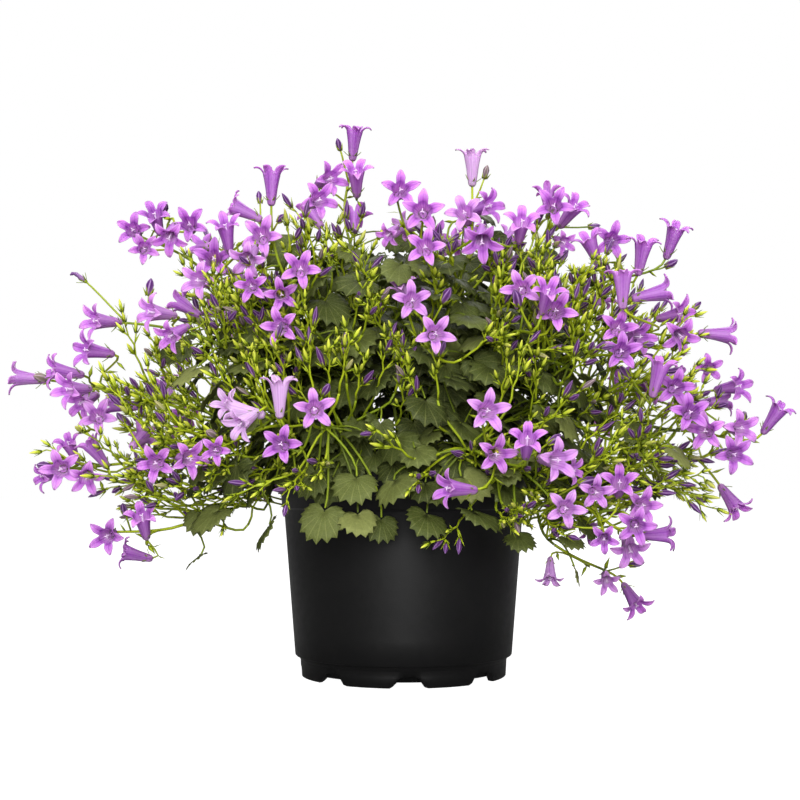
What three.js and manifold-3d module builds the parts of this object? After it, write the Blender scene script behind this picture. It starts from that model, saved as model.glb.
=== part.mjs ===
// A potted bellflower: a black plastic grower pot full of soil, and a loose dome of thin
// leafy shoots that end in sprays of star-shaped violet bells.
// Millimetres, +Z up. The origin is the centre of the pot's base, and the front faces -Y.
import * as THREE from "three";
import Module from "manifold-3d";

const wasm = await Module();
wasm.setup();

// Pot
const POT_SIDES = 32;
const POT_HEIGHT = 140;
const RIM_RADIUS = 85;
const RIM_BAND = 27;
const RIM_STEP = 1.4;
const WALL = 1.8;
const FOOT_HEIGHT = 14;
const FOOT_TOP_RADIUS = 73.5;
const FOOT_RADIUS = 69.4;
const FLOOR_LEVEL = 5;
const NOTCHES = 8;
const NOTCH_HEIGHT = 6.8;
const NOTCH_WIDE = 22;
const NOTCH_NARROW = 12;
const NOTCH_TURN = 2.6;
const DRAINS = 6;
const DRAIN_RADIUS = 5;
const DRAIN_CIRCLE = 46;

// Soil
const SOIL_TOP = 127;
const SOIL_GAP = 0.4;
const SOIL_BUMP = 1.6;
const HOLE_DEPTH = 22;
const HOLE_SPACE = 12;
const HOLE_CLEARANCE = 1;

// Stems
const SHOOT_RADIUS = 1.4;
const TWIG_RADIUS = 1.0;
const STALK_RADIUS = 0.8;
const STALK_STEP = 22;
const SHOOT_STEP = 27;
const JOINT = 1.1;
const JOINT_SPACE = 3.6;
const LONG_STEM = 90;
const STRAIGHT_BOW = 2;
const BOW_STEP = 3.6;
const NODE_GAP = 0.3;
const FORK_AT = 0.5;

// Bloom
const TUBE_LENGTH = 19;
const MOUTH_RADIUS = 4.8;
const LOBES = 5;
const LOBE_LENGTH = 9.8;
const LOBE_WIDTH = 6.6;
const LOBE_BELLY = 4.4;
const LOBE_THICKNESS = 1.5;
const RIDGE_INSET = 1.2;
const THROAT_DEPTH = 9;

// Bud
const BUD_LENGTH = 11;
const BUD_RADIUS = 2.3;
const SPRAY_BUDS = 1;

// Leaf: one side of the outline, [along, across] as parts of the leaf's length
const LEAF_EDGE = [
  [-0.07, 0.18], [0.07, 0.42], [0.22, 0.35], [0.42, 0.43], [0.55, 0.26],
];
const LEAF_MIDDLE = 0.36;
const LEAF_THICKNESS = 1.6;
const LEAF_DROOP = 0.14;

// The dome of flowers: half its width, its depth, and its height above and below its middle
const DOME_WIDTH = 270;
const DOME_DEPTH = 158;
const DOME_MIDDLE = 150;
const DOME_RISE = 238;
const DOME_DROP = 120;
const LEAF_DOME = 0.74;
const DEPTH_SCATTER = 24;

// The point from which the front was laid out: sight lines run from here
const EYE = new THREE.Vector3(-2.4, -983, 137);

// Front blooms in their sprays. Each is [x, z, turn, tip, size, back]: where its star stands in
// the upright plane through the pot's axis, in mm, which way it faces, in degrees to the right
// and up, its size, and how far it stands back from the dome, in mm.
const FRONT_SPRAYS = {
  far_left: [
    [-266, 202, -85, 0], [-241, 207, -55, 5], [-219, 221, -50, 5],
    [-231, 194, -25, 0], [-222, 184, -25, -15, 1, 14], [-210, 175, 0, 0],
  ],
  left_face: [
    [-215, 156, -70, 50, 0.95], [-235, 139, 0, 0, 1.1], [-217, 133, 12, -20, 0.95],
    [-248, 134, -60, -5, 0.9, 50], [-230, 157, -20, 45, 0.9, 70],
  ],
  left_inner: [[-179, 161, 160, 20, 0.9, 60], [-170, 143, 0, 0], [-146, 146, 25, 0]],
  low_left: [[-203, 93, 0, 0], [-190, 82, -85, 10, 0.9, 8], [-179, 107, 0, 45]],
  left_shoulder: [
    [-213, 241, -50, 0], [-175, 247, -40, 5], [-154, 253, -120, 35, 0.9, 70],
    [-161, 230, -30, -30, 0.9, 12],
  ],
  corner_left: [
    [-187, 304, -5, 0], [-172, 315, 0, 35, 1, 8], [-179, 291, 10, 0, 0.85, 16],
    [-162, 298, 0, -30], [-148, 308, 0, 0, 1, 12],
  ],
  upper_left: [
    [-123, 307, 0, 50], [-117, 320, -80, 25, 0.95, 14], [-139, 292, -150, 10, 0.85, 70],
    [-131, 284, 0, 0, 1.08], [-142, 269, -10, -5],
  ],
  crown_left: [[-98, 300, 0, 0, 1.1], [-108, 283, -5, -30], [-105, 265, 0, 0, 0.85], [-91, 343, 10, 80]],
  inner_left: [[-71, 277, 5, 0], [-84, 259, 0, -10, 0.9, 20], [-85, 237, -10, 0]],
  top_left: [[-34, 373, 10, 80], [-33, 345, 0, 40], [-50, 340, 25, 0, 1, 10], [-58, 325, 25, 0]],
  top_middle: [
    [-2, 332, 0, 5], [13, 317, 0, 0, 1.1], [0, 306, -140, 0, 0.85, 70],
    [15, 292, 0, 0], [22, 300, 30, 0, 0.9, 60], [-11, 300, -30, -30, 0.7, 8],
  ],
  top_right: [
    [48, 356, 0, 85], [42, 316, -5, 5], [60, 321, 40, 5, 1, 10], [54, 295, 0, -35, 1.1], [82, 310, 0, 35],
  ],
  shoulder_right: [
    [104, 321, 0, 5], [99, 330, 180, 60, 0.9, 60], [119, 321, 40, 35], [111, 295, 20, -20, 0.7],
  ],
  corner_right: [[128, 297, -40, 60, 0.95], [144, 297, 0, 0], [166, 294, 30, 65], [188, 304, 30, 60]],
  right_shoulder: [
    [151, 272, 0, 85], [180, 261, 85, 15], [192, 246, 35, 0], [191, 230, 5, -25], [224, 231, 85, -5],
  ],
  right_inner: [[148, 236, 0, 5], [163, 230, 15, 0, 0.95, 10], [150, 220, 0, -5, 1, 20]],
  right_middle: [
    [177, 210, 30, 65], [187, 195, 0, 0], [171, 193, 20, -20, 0.85, 50], [210, 208, 0, 0, 0.8],
    [231, 196, 35, 0],
  ],
  far_right: [[258, 180, 55, 50], [232, 167, 5, 0], [227, 149, 5, 0], [222, 186, 80, 10, 0.9, 40]],
  right_face: [[197, 178, 0, 0], [207, 165, -25, 0, 1, 12], [228, 112, 50, -50]],
  low_right: [
    [132, 123, 0, 0, 0.9], [148, 130, 0, 30], [164, 114, 5, 0], [159, 100, 0, -5, 1, 10],
    [155, 83, 0, -25], [181, 94, 80, 5, 0.95], [137, 91, -10, 0, 0.75],
  ],
  lowest_right: [[159, 46, 40, -50], [139, 62, 0, -20, 0.75], [100, 64, 0, -60, 0.75]],
  front_right: [[106, 145, 25, 0, 1.1], [117, 138, 40, 0, 0.75, 16], [111, 112, 0, 0]],
  front_middle: [[58, 179, 0, 0, 1.08], [85, 160, 0, 35], [64, 149, 5, 0], [30, 126, -60, 10]],
  centre_top: [[6, 255, 0, 0], [-1, 265, -40, 50, 0.9, 50], [22, 232, 0, 0]],
  centre_right: [[81, 263, -5, 0], [100, 262, 5, 35, 0.95], [105, 248, 5, 0, 1.08]],
  centre_left: [[-61, 180, 0, 0], [-84, 156, 0, 5], [-85, 197, 0, 85]],
  front_left: [
    [-118, 180, -85, 5], [-113, 169, -40, -30, 0.9], [-122, 184, -20, 15, 0.85, 22],
    [-129, 152, 0, 0, 0.75],
  ],
};

// Back sprays, laid out the same way as seen from behind: [x, z, blooms]
const BACK_SPRAYS = {
  back_far_left: [-196, 196, 4],
  back_low_left: [-150, 112, 4],
  back_left: [-128, 262, 4],
  back_inner_left: [-72, 186, 4],
  back_top_left: [-62, 318, 4],
  back_top_right: [52, 322, 4],
  back_inner_right: [48, 222, 4],
  back_low_right: [92, 128, 4],
  back_right: [138, 268, 4],
  back_far_right: [196, 184, 4],
};
const BACK_SPREAD = 24;

// Each shoot carries two sprays, or one
const SHOOTS = {
  far_left: ["far_left", "left_shoulder"],
  left: ["left_face", "low_left"],
  left_inner: ["left_inner", "front_left"],
  corner_left: ["corner_left", "upper_left"],
  upper_left: ["crown_left", "inner_left"],
  top: ["top_left", "top_middle"],
  top_right: ["top_right", "centre_top"],
  upper_right: ["shoulder_right", "centre_right"],
  corner_right: ["corner_right", "right_shoulder"],
  right: ["right_middle", "right_inner"],
  far_right: ["far_right", "right_face"],
  low_right: ["low_right", "lowest_right"],
  front_right: ["front_right", "front_middle"],
  front_left: ["centre_left"],
  back_left: ["back_far_left", "back_low_left"],
  back_upper_left: ["back_left", "back_inner_left"],
  back_top: ["back_top_left", "back_top_right"],
  back_right: ["back_inner_right", "back_low_right"],
  back_upper_right: ["back_right", "back_far_right"],
};

// Leaves that show at the front: [x, z, length], laid out as the blooms are
const FRONT_LEAVES = [
  [-63, 133, 22], [-34, 128, 25], [-7, 125, 28], [-57, 106, 25], [-33, 104, 21], [-16, 101, 20],
  [17, 103, 24], [50, 104, 27], [73, 122, 25], [42, 128, 25], [81, 90, 18], [-131, 106, 24],
  [-96, 96, 21], [-142, 77, 15], [-147, 204, 23], [-133, 191, 22], [113, 171, 23], [135, 192, 27],
  [171, 141, 18], [190, 149, 18], [114, 89, 16], [126, 99, 16], [120, 69, 14],
];
const SHOOT_LEAVES = 2;

// Random draws: one stream for each piece, so that each piece keeps its own
function draws(seed) {
  let state = Math.imul(seed + 1, 2654435761) >>> 0;
  const draw = () => {
    state = (Math.imul(state, 1664525) + 1013904223) >>> 0;
    return state / 4294967296;
  };
  for (let k = 0; k < 4; k += 1) {
    draw();
  }
  return draw;
}

function drawVector(draw, reach) {
  const x = (draw() * 2 - 1) * reach;
  const y = (draw() * 2 - 1) * reach;
  const z = (draw() * 2 - 1) * reach;
  return new THREE.Vector3(x, y, z);
}

function radians(degrees) {
  return (degrees * Math.PI) / 180;
}

// from + direction * length
function ahead(from, direction, length) {
  return from.clone().addScaledVector(direction, length);
}

// The part of a vector that is square to an axis, at unit length
function squareTo(axis, vector) {
  return vector.clone().addScaledVector(axis, -vector.dot(axis)).normalize();
}

// A facing direction from its turn to the right and its tip upwards
function facing(turn, tip) {
  const level = Math.cos(radians(tip));
  return new THREE.Vector3(
    Math.sin(radians(turn)) * level,
    -Math.cos(radians(turn)) * level,
    Math.sin(radians(tip)),
  );
}

// Bezier curves, each held as its four control points
function along(curve, t) {
  const s = 1 - t;
  return curve[0].clone().multiplyScalar(s * s * s)
    .addScaledVector(curve[1], 3 * s * s * t)
    .addScaledVector(curve[2], 3 * s * t * t)
    .addScaledVector(curve[3], t * t * t);
}

function samples(curve, steps) {
  const points = [];
  for (let k = 0; k <= steps; k += 1) {
    points.push(along(curve, k / steps));
  }
  return points;
}

// How many straight lengths a stem is made of
function stepsFor(curve) {
  const length = lengthOf(curve);
  if (length > LONG_STEM) {
    return Math.round(length / SHOOT_STEP);
  }
  const bow = along(curve, 0.5).distanceTo(curve[0].clone().lerp(curve[3], 0.5));
  return bow < STRAIGHT_BOW ? 1 : Math.max(2, Math.round(length / STALK_STEP), Math.ceil(bow / BOW_STEP));
}

// The way a branch for a target leaves a stem: outwards as much as along it
function parting(curve, t, target) {
  const way = along(curve, t + 0.01).sub(along(curve, t - 0.01)).normalize();
  const aside = squareTo(way, target.clone().sub(along(curve, t)));
  return aside.addScaledVector(way, 0.8).normalize();
}

function lengthOf(curve) {
  const points = samples(curve, 12);
  let length = 0;
  for (let k = 1; k < points.length; k += 1) {
    length += points[k].distanceTo(points[k - 1]);
  }
  return length;
}

// A ball inside the pot's wall, which never fits
const BLOCKED = [[new THREE.Vector3(RIM_RADIUS, 0, POT_HEIGHT / 2), 5]];

// Where pieces are, kept as balls, so that no piece grows through another
const CELL = 14;
const CLEARANCE = 0.5;
const YOUNG = 5.5;
const BALL_STEP = 2.4;
const BALL_START = 1.5;
const SHARPEST = 0.1;
const NARROW_DEPTH = 17;
const NARROW_RADIUS = 2.2;

class Room {
  constructor() {
    this.cells = new Map();
  }

  put(balls, piece) {
    for (const [point, radius] of balls) {
      const key = [point.x, point.y, point.z].map((v) => Math.floor(v / CELL)).join();
      if (!this.cells.has(key)) {
        this.cells.set(key, []);
      }
      this.cells.get(key).push({ point, radius, piece });
    }
  }

  near(point) {
    const [i, j, k] = [point.x, point.y, point.z].map((v) => Math.floor(v / CELL));
    const found = [];
    for (let a = i - 1; a <= i + 1; a += 1) {
      for (let b = j - 1; b <= j + 1; b += 1) {
        for (let c = k - 1; c <= k + 1; c += 1) {
          found.push(...(this.cells.get(`${a},${b},${c}`) ?? []));
        }
      }
    }
    return found;
  }

  // The balls of a stem near its root may touch the piece it grows from
  fits(balls, piece, parent) {
    for (const [point, radius, young] of balls) {
      if (hitsPot(point, radius)) {
        return false;
      }
      for (const other of this.near(point)) {
        const mine = other.piece === piece || (young && other.piece === parent);
        if (!mine && point.distanceTo(other.point) < radius + other.radius + CLEARANCE) {
          return false;
        }
      }
    }
    return true;
  }

  // The first proposal that fits
  settle(piece, parent, tries, propose) {
    for (let k = 0; k < tries; k += 1) {
      const item = propose(k);
      if (this.fits(item.balls, piece, parent)) {
        this.put(item.balls, piece);
        return item;
      }
    }
    return null;
  }
}

function hitsPot(point, radius) {
  const out = Math.hypot(point.x, point.y);
  const overSoil = out + radius < RIM_RADIUS - WALL - 3 && point.z - radius > SOIL_TOP + SOIL_BUMP;
  return point.z - radius < POT_HEIGHT + 1 && out - radius < RIM_RADIUS + 1 && !overSoil;
}

function stemBalls(curve, radius, trimEnd, leave, arrive) {
  if (tooBent(curve, leave, arrive)) {
    return BLOCKED;
  }
  const length = lengthOf(curve);
  const points = samples(curve, stepsFor(curve));
  const balls = [];
  let gone = 0;
  for (let k = 1; k < points.length; k += 1) {
    const span = points[k].distanceTo(points[k - 1]);
    const count = Math.ceil(span / BALL_STEP);
    for (let n = 0; n < count; n += 1) {
      const run = gone + (span * n) / count;
      if (run >= BALL_START && length - run >= trimEnd) {
        balls.push([points[k - 1].clone().lerp(points[k], n / count), radius + 0.6, run < YOUNG]);
      }
    }
    gone += span;
  }
  return balls;
}

// A stem may not turn sharply where its straight lengths meet
function tooBent(curve, leave, arrive) {
  const points = samples(curve, stepsFor(curve));
  const lengths = points.slice(1).map((point, k) => point.clone().sub(points[k]).normalize());
  const ways = [leave, ...lengths, arrive];
  return ways.slice(1).some((way, k) => way.dot(ways[k]) < SHARPEST);
}

function bloomBalls(bloom) {
  const { centre, axis, side, size, flare } = bloom;
  const across = axis.clone().cross(side);
  const balls = [[3, 5.2], [8, 4.2], [13, 3.2]].map(([depth, radius]) => [
    ahead(centre, axis, -depth * size), radius * size,
  ]);
  for (let k = 0; k < LOBES; k += 1) {
    const angle = (2 * Math.PI * k) / LOBES;
    const out = side.clone().multiplyScalar(Math.cos(angle)).addScaledVector(across, Math.sin(angle));
    for (const [reach, radius] of [[3, 3.2], [6.5, 3.2], [9.4, 2]]) {
      const radial = (MOUTH_RADIUS + reach * Math.sin(radians(flare))) * size;
      const rise = (reach * Math.cos(radians(flare)) - 1) * size;
      balls.push([ahead(ahead(centre, out, radial), axis, rise), radius * size]);
    }
  }
  return balls;
}

function leafBalls(leaf) {
  const spots = [[0.08, 0.26], [0.08, 0], [0.36, 0.29], [0.36, 0], [0.62, 0.2], [0.62, 0], [0.87, 0]];
  const balls = [];
  for (const [forward, sideways] of spots) {
    for (const hand of sideways > 0 ? [1, -1] : [1]) {
      balls.push([leafPoint(leaf, forward, sideways * hand, 0), leaf.length * 0.15]);
    }
  }
  return balls;
}

// A point of a leaf: its blade droops away from its middle
function leafPoint(leaf, forward, sideways, lift) {
  const away = (forward - LEAF_MIDDLE) ** 2 + sideways ** 2;
  return ahead(ahead(leaf.base, leaf.axis, forward * leaf.length), leaf.side, sideways * leaf.length)
    .addScaledVector(leaf.up, lift - away * LEAF_DROOP * leaf.length);
}

// How far in front of the pot's axis the dome of flowers stands at a place of the front view
function domeDepth(x, z, share) {
  const rise = (z - DOME_MIDDLE) / (z > DOME_MIDDLE ? DOME_RISE : DOME_DROP);
  const left = 1 - (x / DOME_WIDTH) ** 2 - rise ** 2;
  return DOME_DEPTH * share * Math.sqrt(Math.max(0.02, left));
}

// A place of the front view, slid along its sight line until it stands forward of the axis
function placed(x, z, forward) {
  const seen = new THREE.Vector3(x, 0, z);
  return EYE.clone().lerp(seen, 1 - forward / -EYE.y);
}

// The plan of a plant: where every stem, bloom, bud and leaf is
function growPlant() {
  const room = new Room();
  const sprays = placeBlooms(room);
  placeStalks(room, sprays);
  const shoots = placeShoots(room, sprays);
  placeBuds(room, sprays);
  placeLeaves(room, shoots);
  return { sprays, shoots };
}

function placeBlooms(room) {
  const sprays = {};
  let piece = 1;
  const place = (name, x, z, turn, tip, size, back, half) => {
    const draw = draws(piece);
    const dome = domeDepth(x, z, 1);
    const depth = dome - back + (draw() - 0.5) * (DEPTH_SCATTER + 0.5 * (DOME_DEPTH - dome));
    const axis = facing(turn + (draw() - 0.5) * 16, tip + (draw() - 0.5) * 12);
    const spin = drawVector(draw, 1);
    const flare = 76 + 22 * draw();
    if (half) {
      axis.x *= -1;
      axis.y *= -1;
    }
    const bloom = room.settle(piece, 0, 21, (k) => {
      const centre = placed(x, z, depth + 5 * Math.ceil(k / 2) * (k % 2 ? -1 : 1));
      if (half) {
        centre.x *= -1;
        centre.y *= -1;
      }
      const item = { piece, centre, axis, side: squareTo(axis, spin), size, flare };
      item.balls = bloomBalls(item);
      return item;
    });
    if (bloom) {
      sprays[name].blooms.push(bloom);
      room.put([[ahead(bloom.centre, bloom.axis, -NARROW_DEPTH * size), NARROW_RADIUS]], 500 + piece);
    }
    piece += 1;
  };
  for (const [name, blooms] of Object.entries(FRONT_SPRAYS)) {
    sprays[name] = { name, blooms: [] };
    for (const [x, z, turn, tip, size = 1, back = 0] of blooms) {
      place(name, x, z, turn, tip, size, back, false);
    }
  }
  for (const [name, [x, z, count]] of Object.entries(BACK_SPRAYS)) {
    sprays[name] = { name, blooms: [] };
    for (let k = 0; k < count; k += 1) {
      const angle = ((k + 0.3) * 2 * Math.PI) / count + x;
      const bx = x + BACK_SPREAD * Math.cos(angle);
      const bz = z + BACK_SPREAD * Math.sin(angle);
      const lean = 40 * Math.sin(angle) + (z - DOME_MIDDLE) * 0.12;
      place(name, bx, bz, bx * 0.25 + 30 * Math.cos(angle), lean, 1, (k % 2) * 40, true);
    }
  }
  return sprays;
}

// A spray hangs together on one stalk, which its other stalks leave on the way
function placeStalks(room, sprays) {
  const crown = new THREE.Vector3(0, 0, DOME_MIDDLE + 10);
  Object.values(sprays).forEach((spray, index) => {
    const draw = draws(1000 + index);
    const footOf = (bloom) => ahead(bloom.centre, bloom.axis, -TUBE_LENGTH * bloom.size);
    const middle = spray.blooms
      .reduce((sum, bloom) => sum.add(footOf(bloom)), new THREE.Vector3())
      .divideScalar(spray.blooms.length);
    spray.out = middle.clone().sub(crown).normalize();
    spray.root = room.settle(2000 + index, 0, 40, (k) => {
      const point = ahead(middle, spray.out, -32).add(drawVector(draw, k * 0.8));
      return { point, balls: [[point, 3]] };
    }).point;
    const reachOf = (bloom) => footOf(bloom).distanceTo(spray.root);
    const order = spray.blooms.slice().sort((a, b) => reachOf(b) - reachOf(a));
    const slots = order.length + SPRAY_BUDS;
    spray.stalks = [];
    order.forEach((bloom, k) => {
      const first = spray.stalks.length === 0;
      const t = 0.1 + (0.7 * k) / slots;
      const start = first ? ahead(spray.root, spray.out, NODE_GAP / 2) : along(spray.stalks[0].curve, t);
      const foot = footOf(bloom);
      const leave = first ? spray.out : parting(spray.stalks[0].curve, t, foot);
      const reach = start.distanceTo(foot);
      const parent = first ? 2000 + index : 500 + spray.stalks[0].bloom.piece;
      const stalk = room.settle(500 + bloom.piece, parent, 1200, (n) => {
        const curve = [
          start,
          ahead(start, leave, reach * 0.35).add(drawVector(draw, first ? 0 : n * 0.06)),
          ahead(foot, bloom.axis, -Math.min(reach * 0.4, 16)).add(drawVector(draw, n * 0.06)),
          foot,
        ];
        return { curve, balls: stemBalls(curve, STALK_RADIUS, 1, leave, bloom.axis) };
      });
      if (stalk) {
        spray.stalks.push({ ...stalk, t, bloom });
      }
    });
    spray.budPlaces = [];
    for (let k = order.length; k < slots; k += 1) {
      spray.budPlaces.push(0.1 + (0.7 * k) / slots);
    }
  });
}

// Shoots rise from their holes in the soil and arch out to the sprays
function placeShoots(room, sprays) {
  const holes = [];
  const shoots = [];
  Object.entries(SHOOTS).forEach(([name, carried], index) => {
    const draw = draws(3000 + index);
    const ends = carried.map((key) => sprays[key]);
    const aim = new THREE.Vector3();
    for (const spray of ends) {
      aim.addScaledVector(spray.root, 1 / ends.length);
    }
    const level = Math.atan2(aim.y, aim.x);
    const reach = aim.z > 230 ? 18 : 44;
    let foot;
    let near = true;
    for (let k = 0; near && k < 60; k += 1) {
      const angle = level + (draw() - 0.5) * 0.03 * k;
      const radius = Math.min(58, Math.max(8, reach + (draw() - 0.5) * 1.2 * k));
      foot = new THREE.Vector3(radius * Math.cos(angle), radius * Math.sin(angle), SOIL_TOP + 3);
      near = holes.some((hole) => hole.distanceTo(foot) < HOLE_SPACE);
    }
    holes.push(foot);
    const shoot = { name, foot, stems: [], leaves: [] };
    ends.forEach((spray, k) => {
      const end = ahead(spray.root, spray.out, -NODE_GAP / 2);
      const start = k === 0 ? foot : along(shoot.stems[0].curve, FORK_AT);
      const span = start.distanceTo(end);
      const up = new THREE.Vector3(0, 0, 1);
      const leave = k === 0 ? up : parting(shoot.stems[0].curve, FORK_AT, end);
      const lift = end.z < POT_HEIGHT + 30 ? 0.62 : 0.4;
      const stem = room.settle(3000 + index * 10 + k, 3000 + index * 10, 600, (n) => {
        const curve = [
          start,
          ahead(start, leave, span * lift).add(drawVector(draw, n * 0.25)),
          ahead(end, spray.out, -span * (0.2 + 0.2 * draw())),
          end,
        ];
        if (k === 0) {
          curve[1].x = foot.x + (curve[1].x - foot.x) * 0.5;
          curve[1].y = foot.y + (curve[1].y - foot.y) * 0.5;
        }
        return { curve, balls: stemBalls(curve, SHOOT_RADIUS, 6, leave, spray.out) };
      });
      if (stem) {
        const joints = k === 0 && ends.length > 1 ? [FORK_AT] : [];
        shoot.stems.push({ ...stem, piece: 3000 + index * 10 + k, joints });
      }
    });
    shoots.push(shoot);
  });
  return shoots;
}

// Closed buds on thin stalks at each spray
function placeBuds(room, sprays) {
  Object.values(sprays).forEach((spray, index) => {
    const draw = draws(5000 + index);
    spray.buds = [];
    for (const t of spray.budPlaces) {
      const start = along(spray.stalks[0].curve, t);
      const bud = room.settle(5000 + index, 500 + spray.stalks[0].bloom.piece, 80, () => {
        const axis = spray.out.clone().multiplyScalar(0.6).add(drawVector(draw, 1)).normalize();
        axis.z = Math.abs(axis.z);
        const size = 0.7 + 0.5 * draw();
        const stand = 14 + 14 * draw();
        const foot = ahead(start, axis, stand).add(drawVector(draw, 3));
        const curve = [start, ahead(start, axis, stand * 0.3), ahead(foot, axis, -stand * 0.3), foot];
        const balls = [...stemBalls(curve, STALK_RADIUS, 0, axis, axis)];
        for (const share of [0.2, 0.5, 0.85]) {
          balls.push([ahead(foot, axis, BUD_LENGTH * size * share), BUD_RADIUS * size + 0.4]);
        }
        return { curve, axis, size, t, balls };
      });
      if (bud) {
        spray.buds.push(bud);
      }
    }
  });
}

// A leaf on its stalk: it faces up and outwards, and its tip hangs
function leafAt(start, base, out, hang, length, draw) {
  const rising = out.clone().multiplyScalar(0.7).add(new THREE.Vector3(0, 0, 0.75));
  const up = rising.add(drawVector(draw, 0.45)).normalize();
  const reaching = out.clone().multiplyScalar(1.2).add(new THREE.Vector3(0, 0, -hang));
  const axis = squareTo(up, reaching.add(drawVector(draw, 0.5)));
  const side = up.clone().cross(axis);
  const leaf = { length, base, axis, side, up };
  const span = start.distanceTo(base);
  const leave = base.clone().sub(start).normalize().add(new THREE.Vector3(0, 0, 0.4)).normalize();
  const curve = [start, ahead(start, leave, span * 0.4), ahead(base, axis, -span * 0.3), base];
  return { leaf, curve, balls: [...stemBalls(curve, STALK_RADIUS, 4, leave, axis), ...leafBalls(leaf)] };
}

// A place on a stem is free if no other joint is near
function freeJoint(stem, t) {
  const space = JOINT_SPACE / lengthOf(stem.curve);
  return stem.joints.every((joint) => Math.abs(joint - t) > space);
}

function placeLeaves(room, shoots) {
  const spots = [];
  shoots.forEach((shoot) => {
    shoot.stems.forEach((stem, number) => {
      for (let k = 5; k <= 19; k += 1) {
        spots.push({ shoot, stem, number, t: k / 20, point: along(stem.curve, k / 20) });
      }
    });
  });
  FRONT_LEAVES.forEach(([x, z, length], index) => {
    const draw = draws(6000 + index);
    const target = placed(x, z, domeDepth(x, z, LEAF_DOME));
    const byReach = spots.slice().sort((a, b) => a.point.distanceTo(target) - b.point.distanceTo(target));
    for (const spot of byReach.slice(0, 12)) {
      const piece = 6000 + index;
      const found = freeJoint(spot.stem, spot.t) && room.settle(piece, spot.stem.piece, 16, (n) => {
        const centre = placed(x, z, domeDepth(x, z, LEAF_DOME) + (draw() - 0.5) * (8 + 3 * n));
        const out = new THREE.Vector3(centre.x, centre.y, 0).normalize();
        const base = ahead(centre, out, -0.25 * length).add(new THREE.Vector3(0, 0, 0.22 * length));
        return leafAt(spot.point, base, out, 0.9, length, draw);
      });
      if (found) {
        spot.stem.joints.push(spot.t);
        spot.shoot.leaves.push({ ...found, t: spot.t, stem: spot.number });
        break;
      }
    }
  });
  shoots.forEach((shoot, index) => {
    for (let k = 0; k < SHOOT_LEAVES; k += 1) {
      const draw = draws(7000 + index * 20 + k);
      const number = k % shoot.stems.length;
      const stem = shoot.stems[number];
      const found = room.settle(7000 + index * 20 + k, stem.piece, 60, () => {
        const t = 0.3 + 0.6 * draw();
        const start = along(stem.curve, t);
        const turn = 2 * Math.PI * draw();
        const out = new THREE.Vector3(Math.cos(turn), Math.sin(turn), 0);
        out.addScaledVector(new THREE.Vector3(start.x, start.y, 0).normalize(), 0.8).normalize();
        const base = ahead(start, out, 12 + 10 * draw()).add(new THREE.Vector3(0, 0, 4 + 8 * draw()));
        const leaf = leafAt(start, base, out, 0.3 + 0.6 * draw(), 17 + 9 * draw(), draw);
        return { ...leaf, t, stem: number, balls: freeJoint(stem, t) ? leaf.balls : BLOCKED };
      });
      if (found) {
        stem.joints.push(found.t);
        shoot.leaves.push(found);
      }
    }
  });
}

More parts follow.
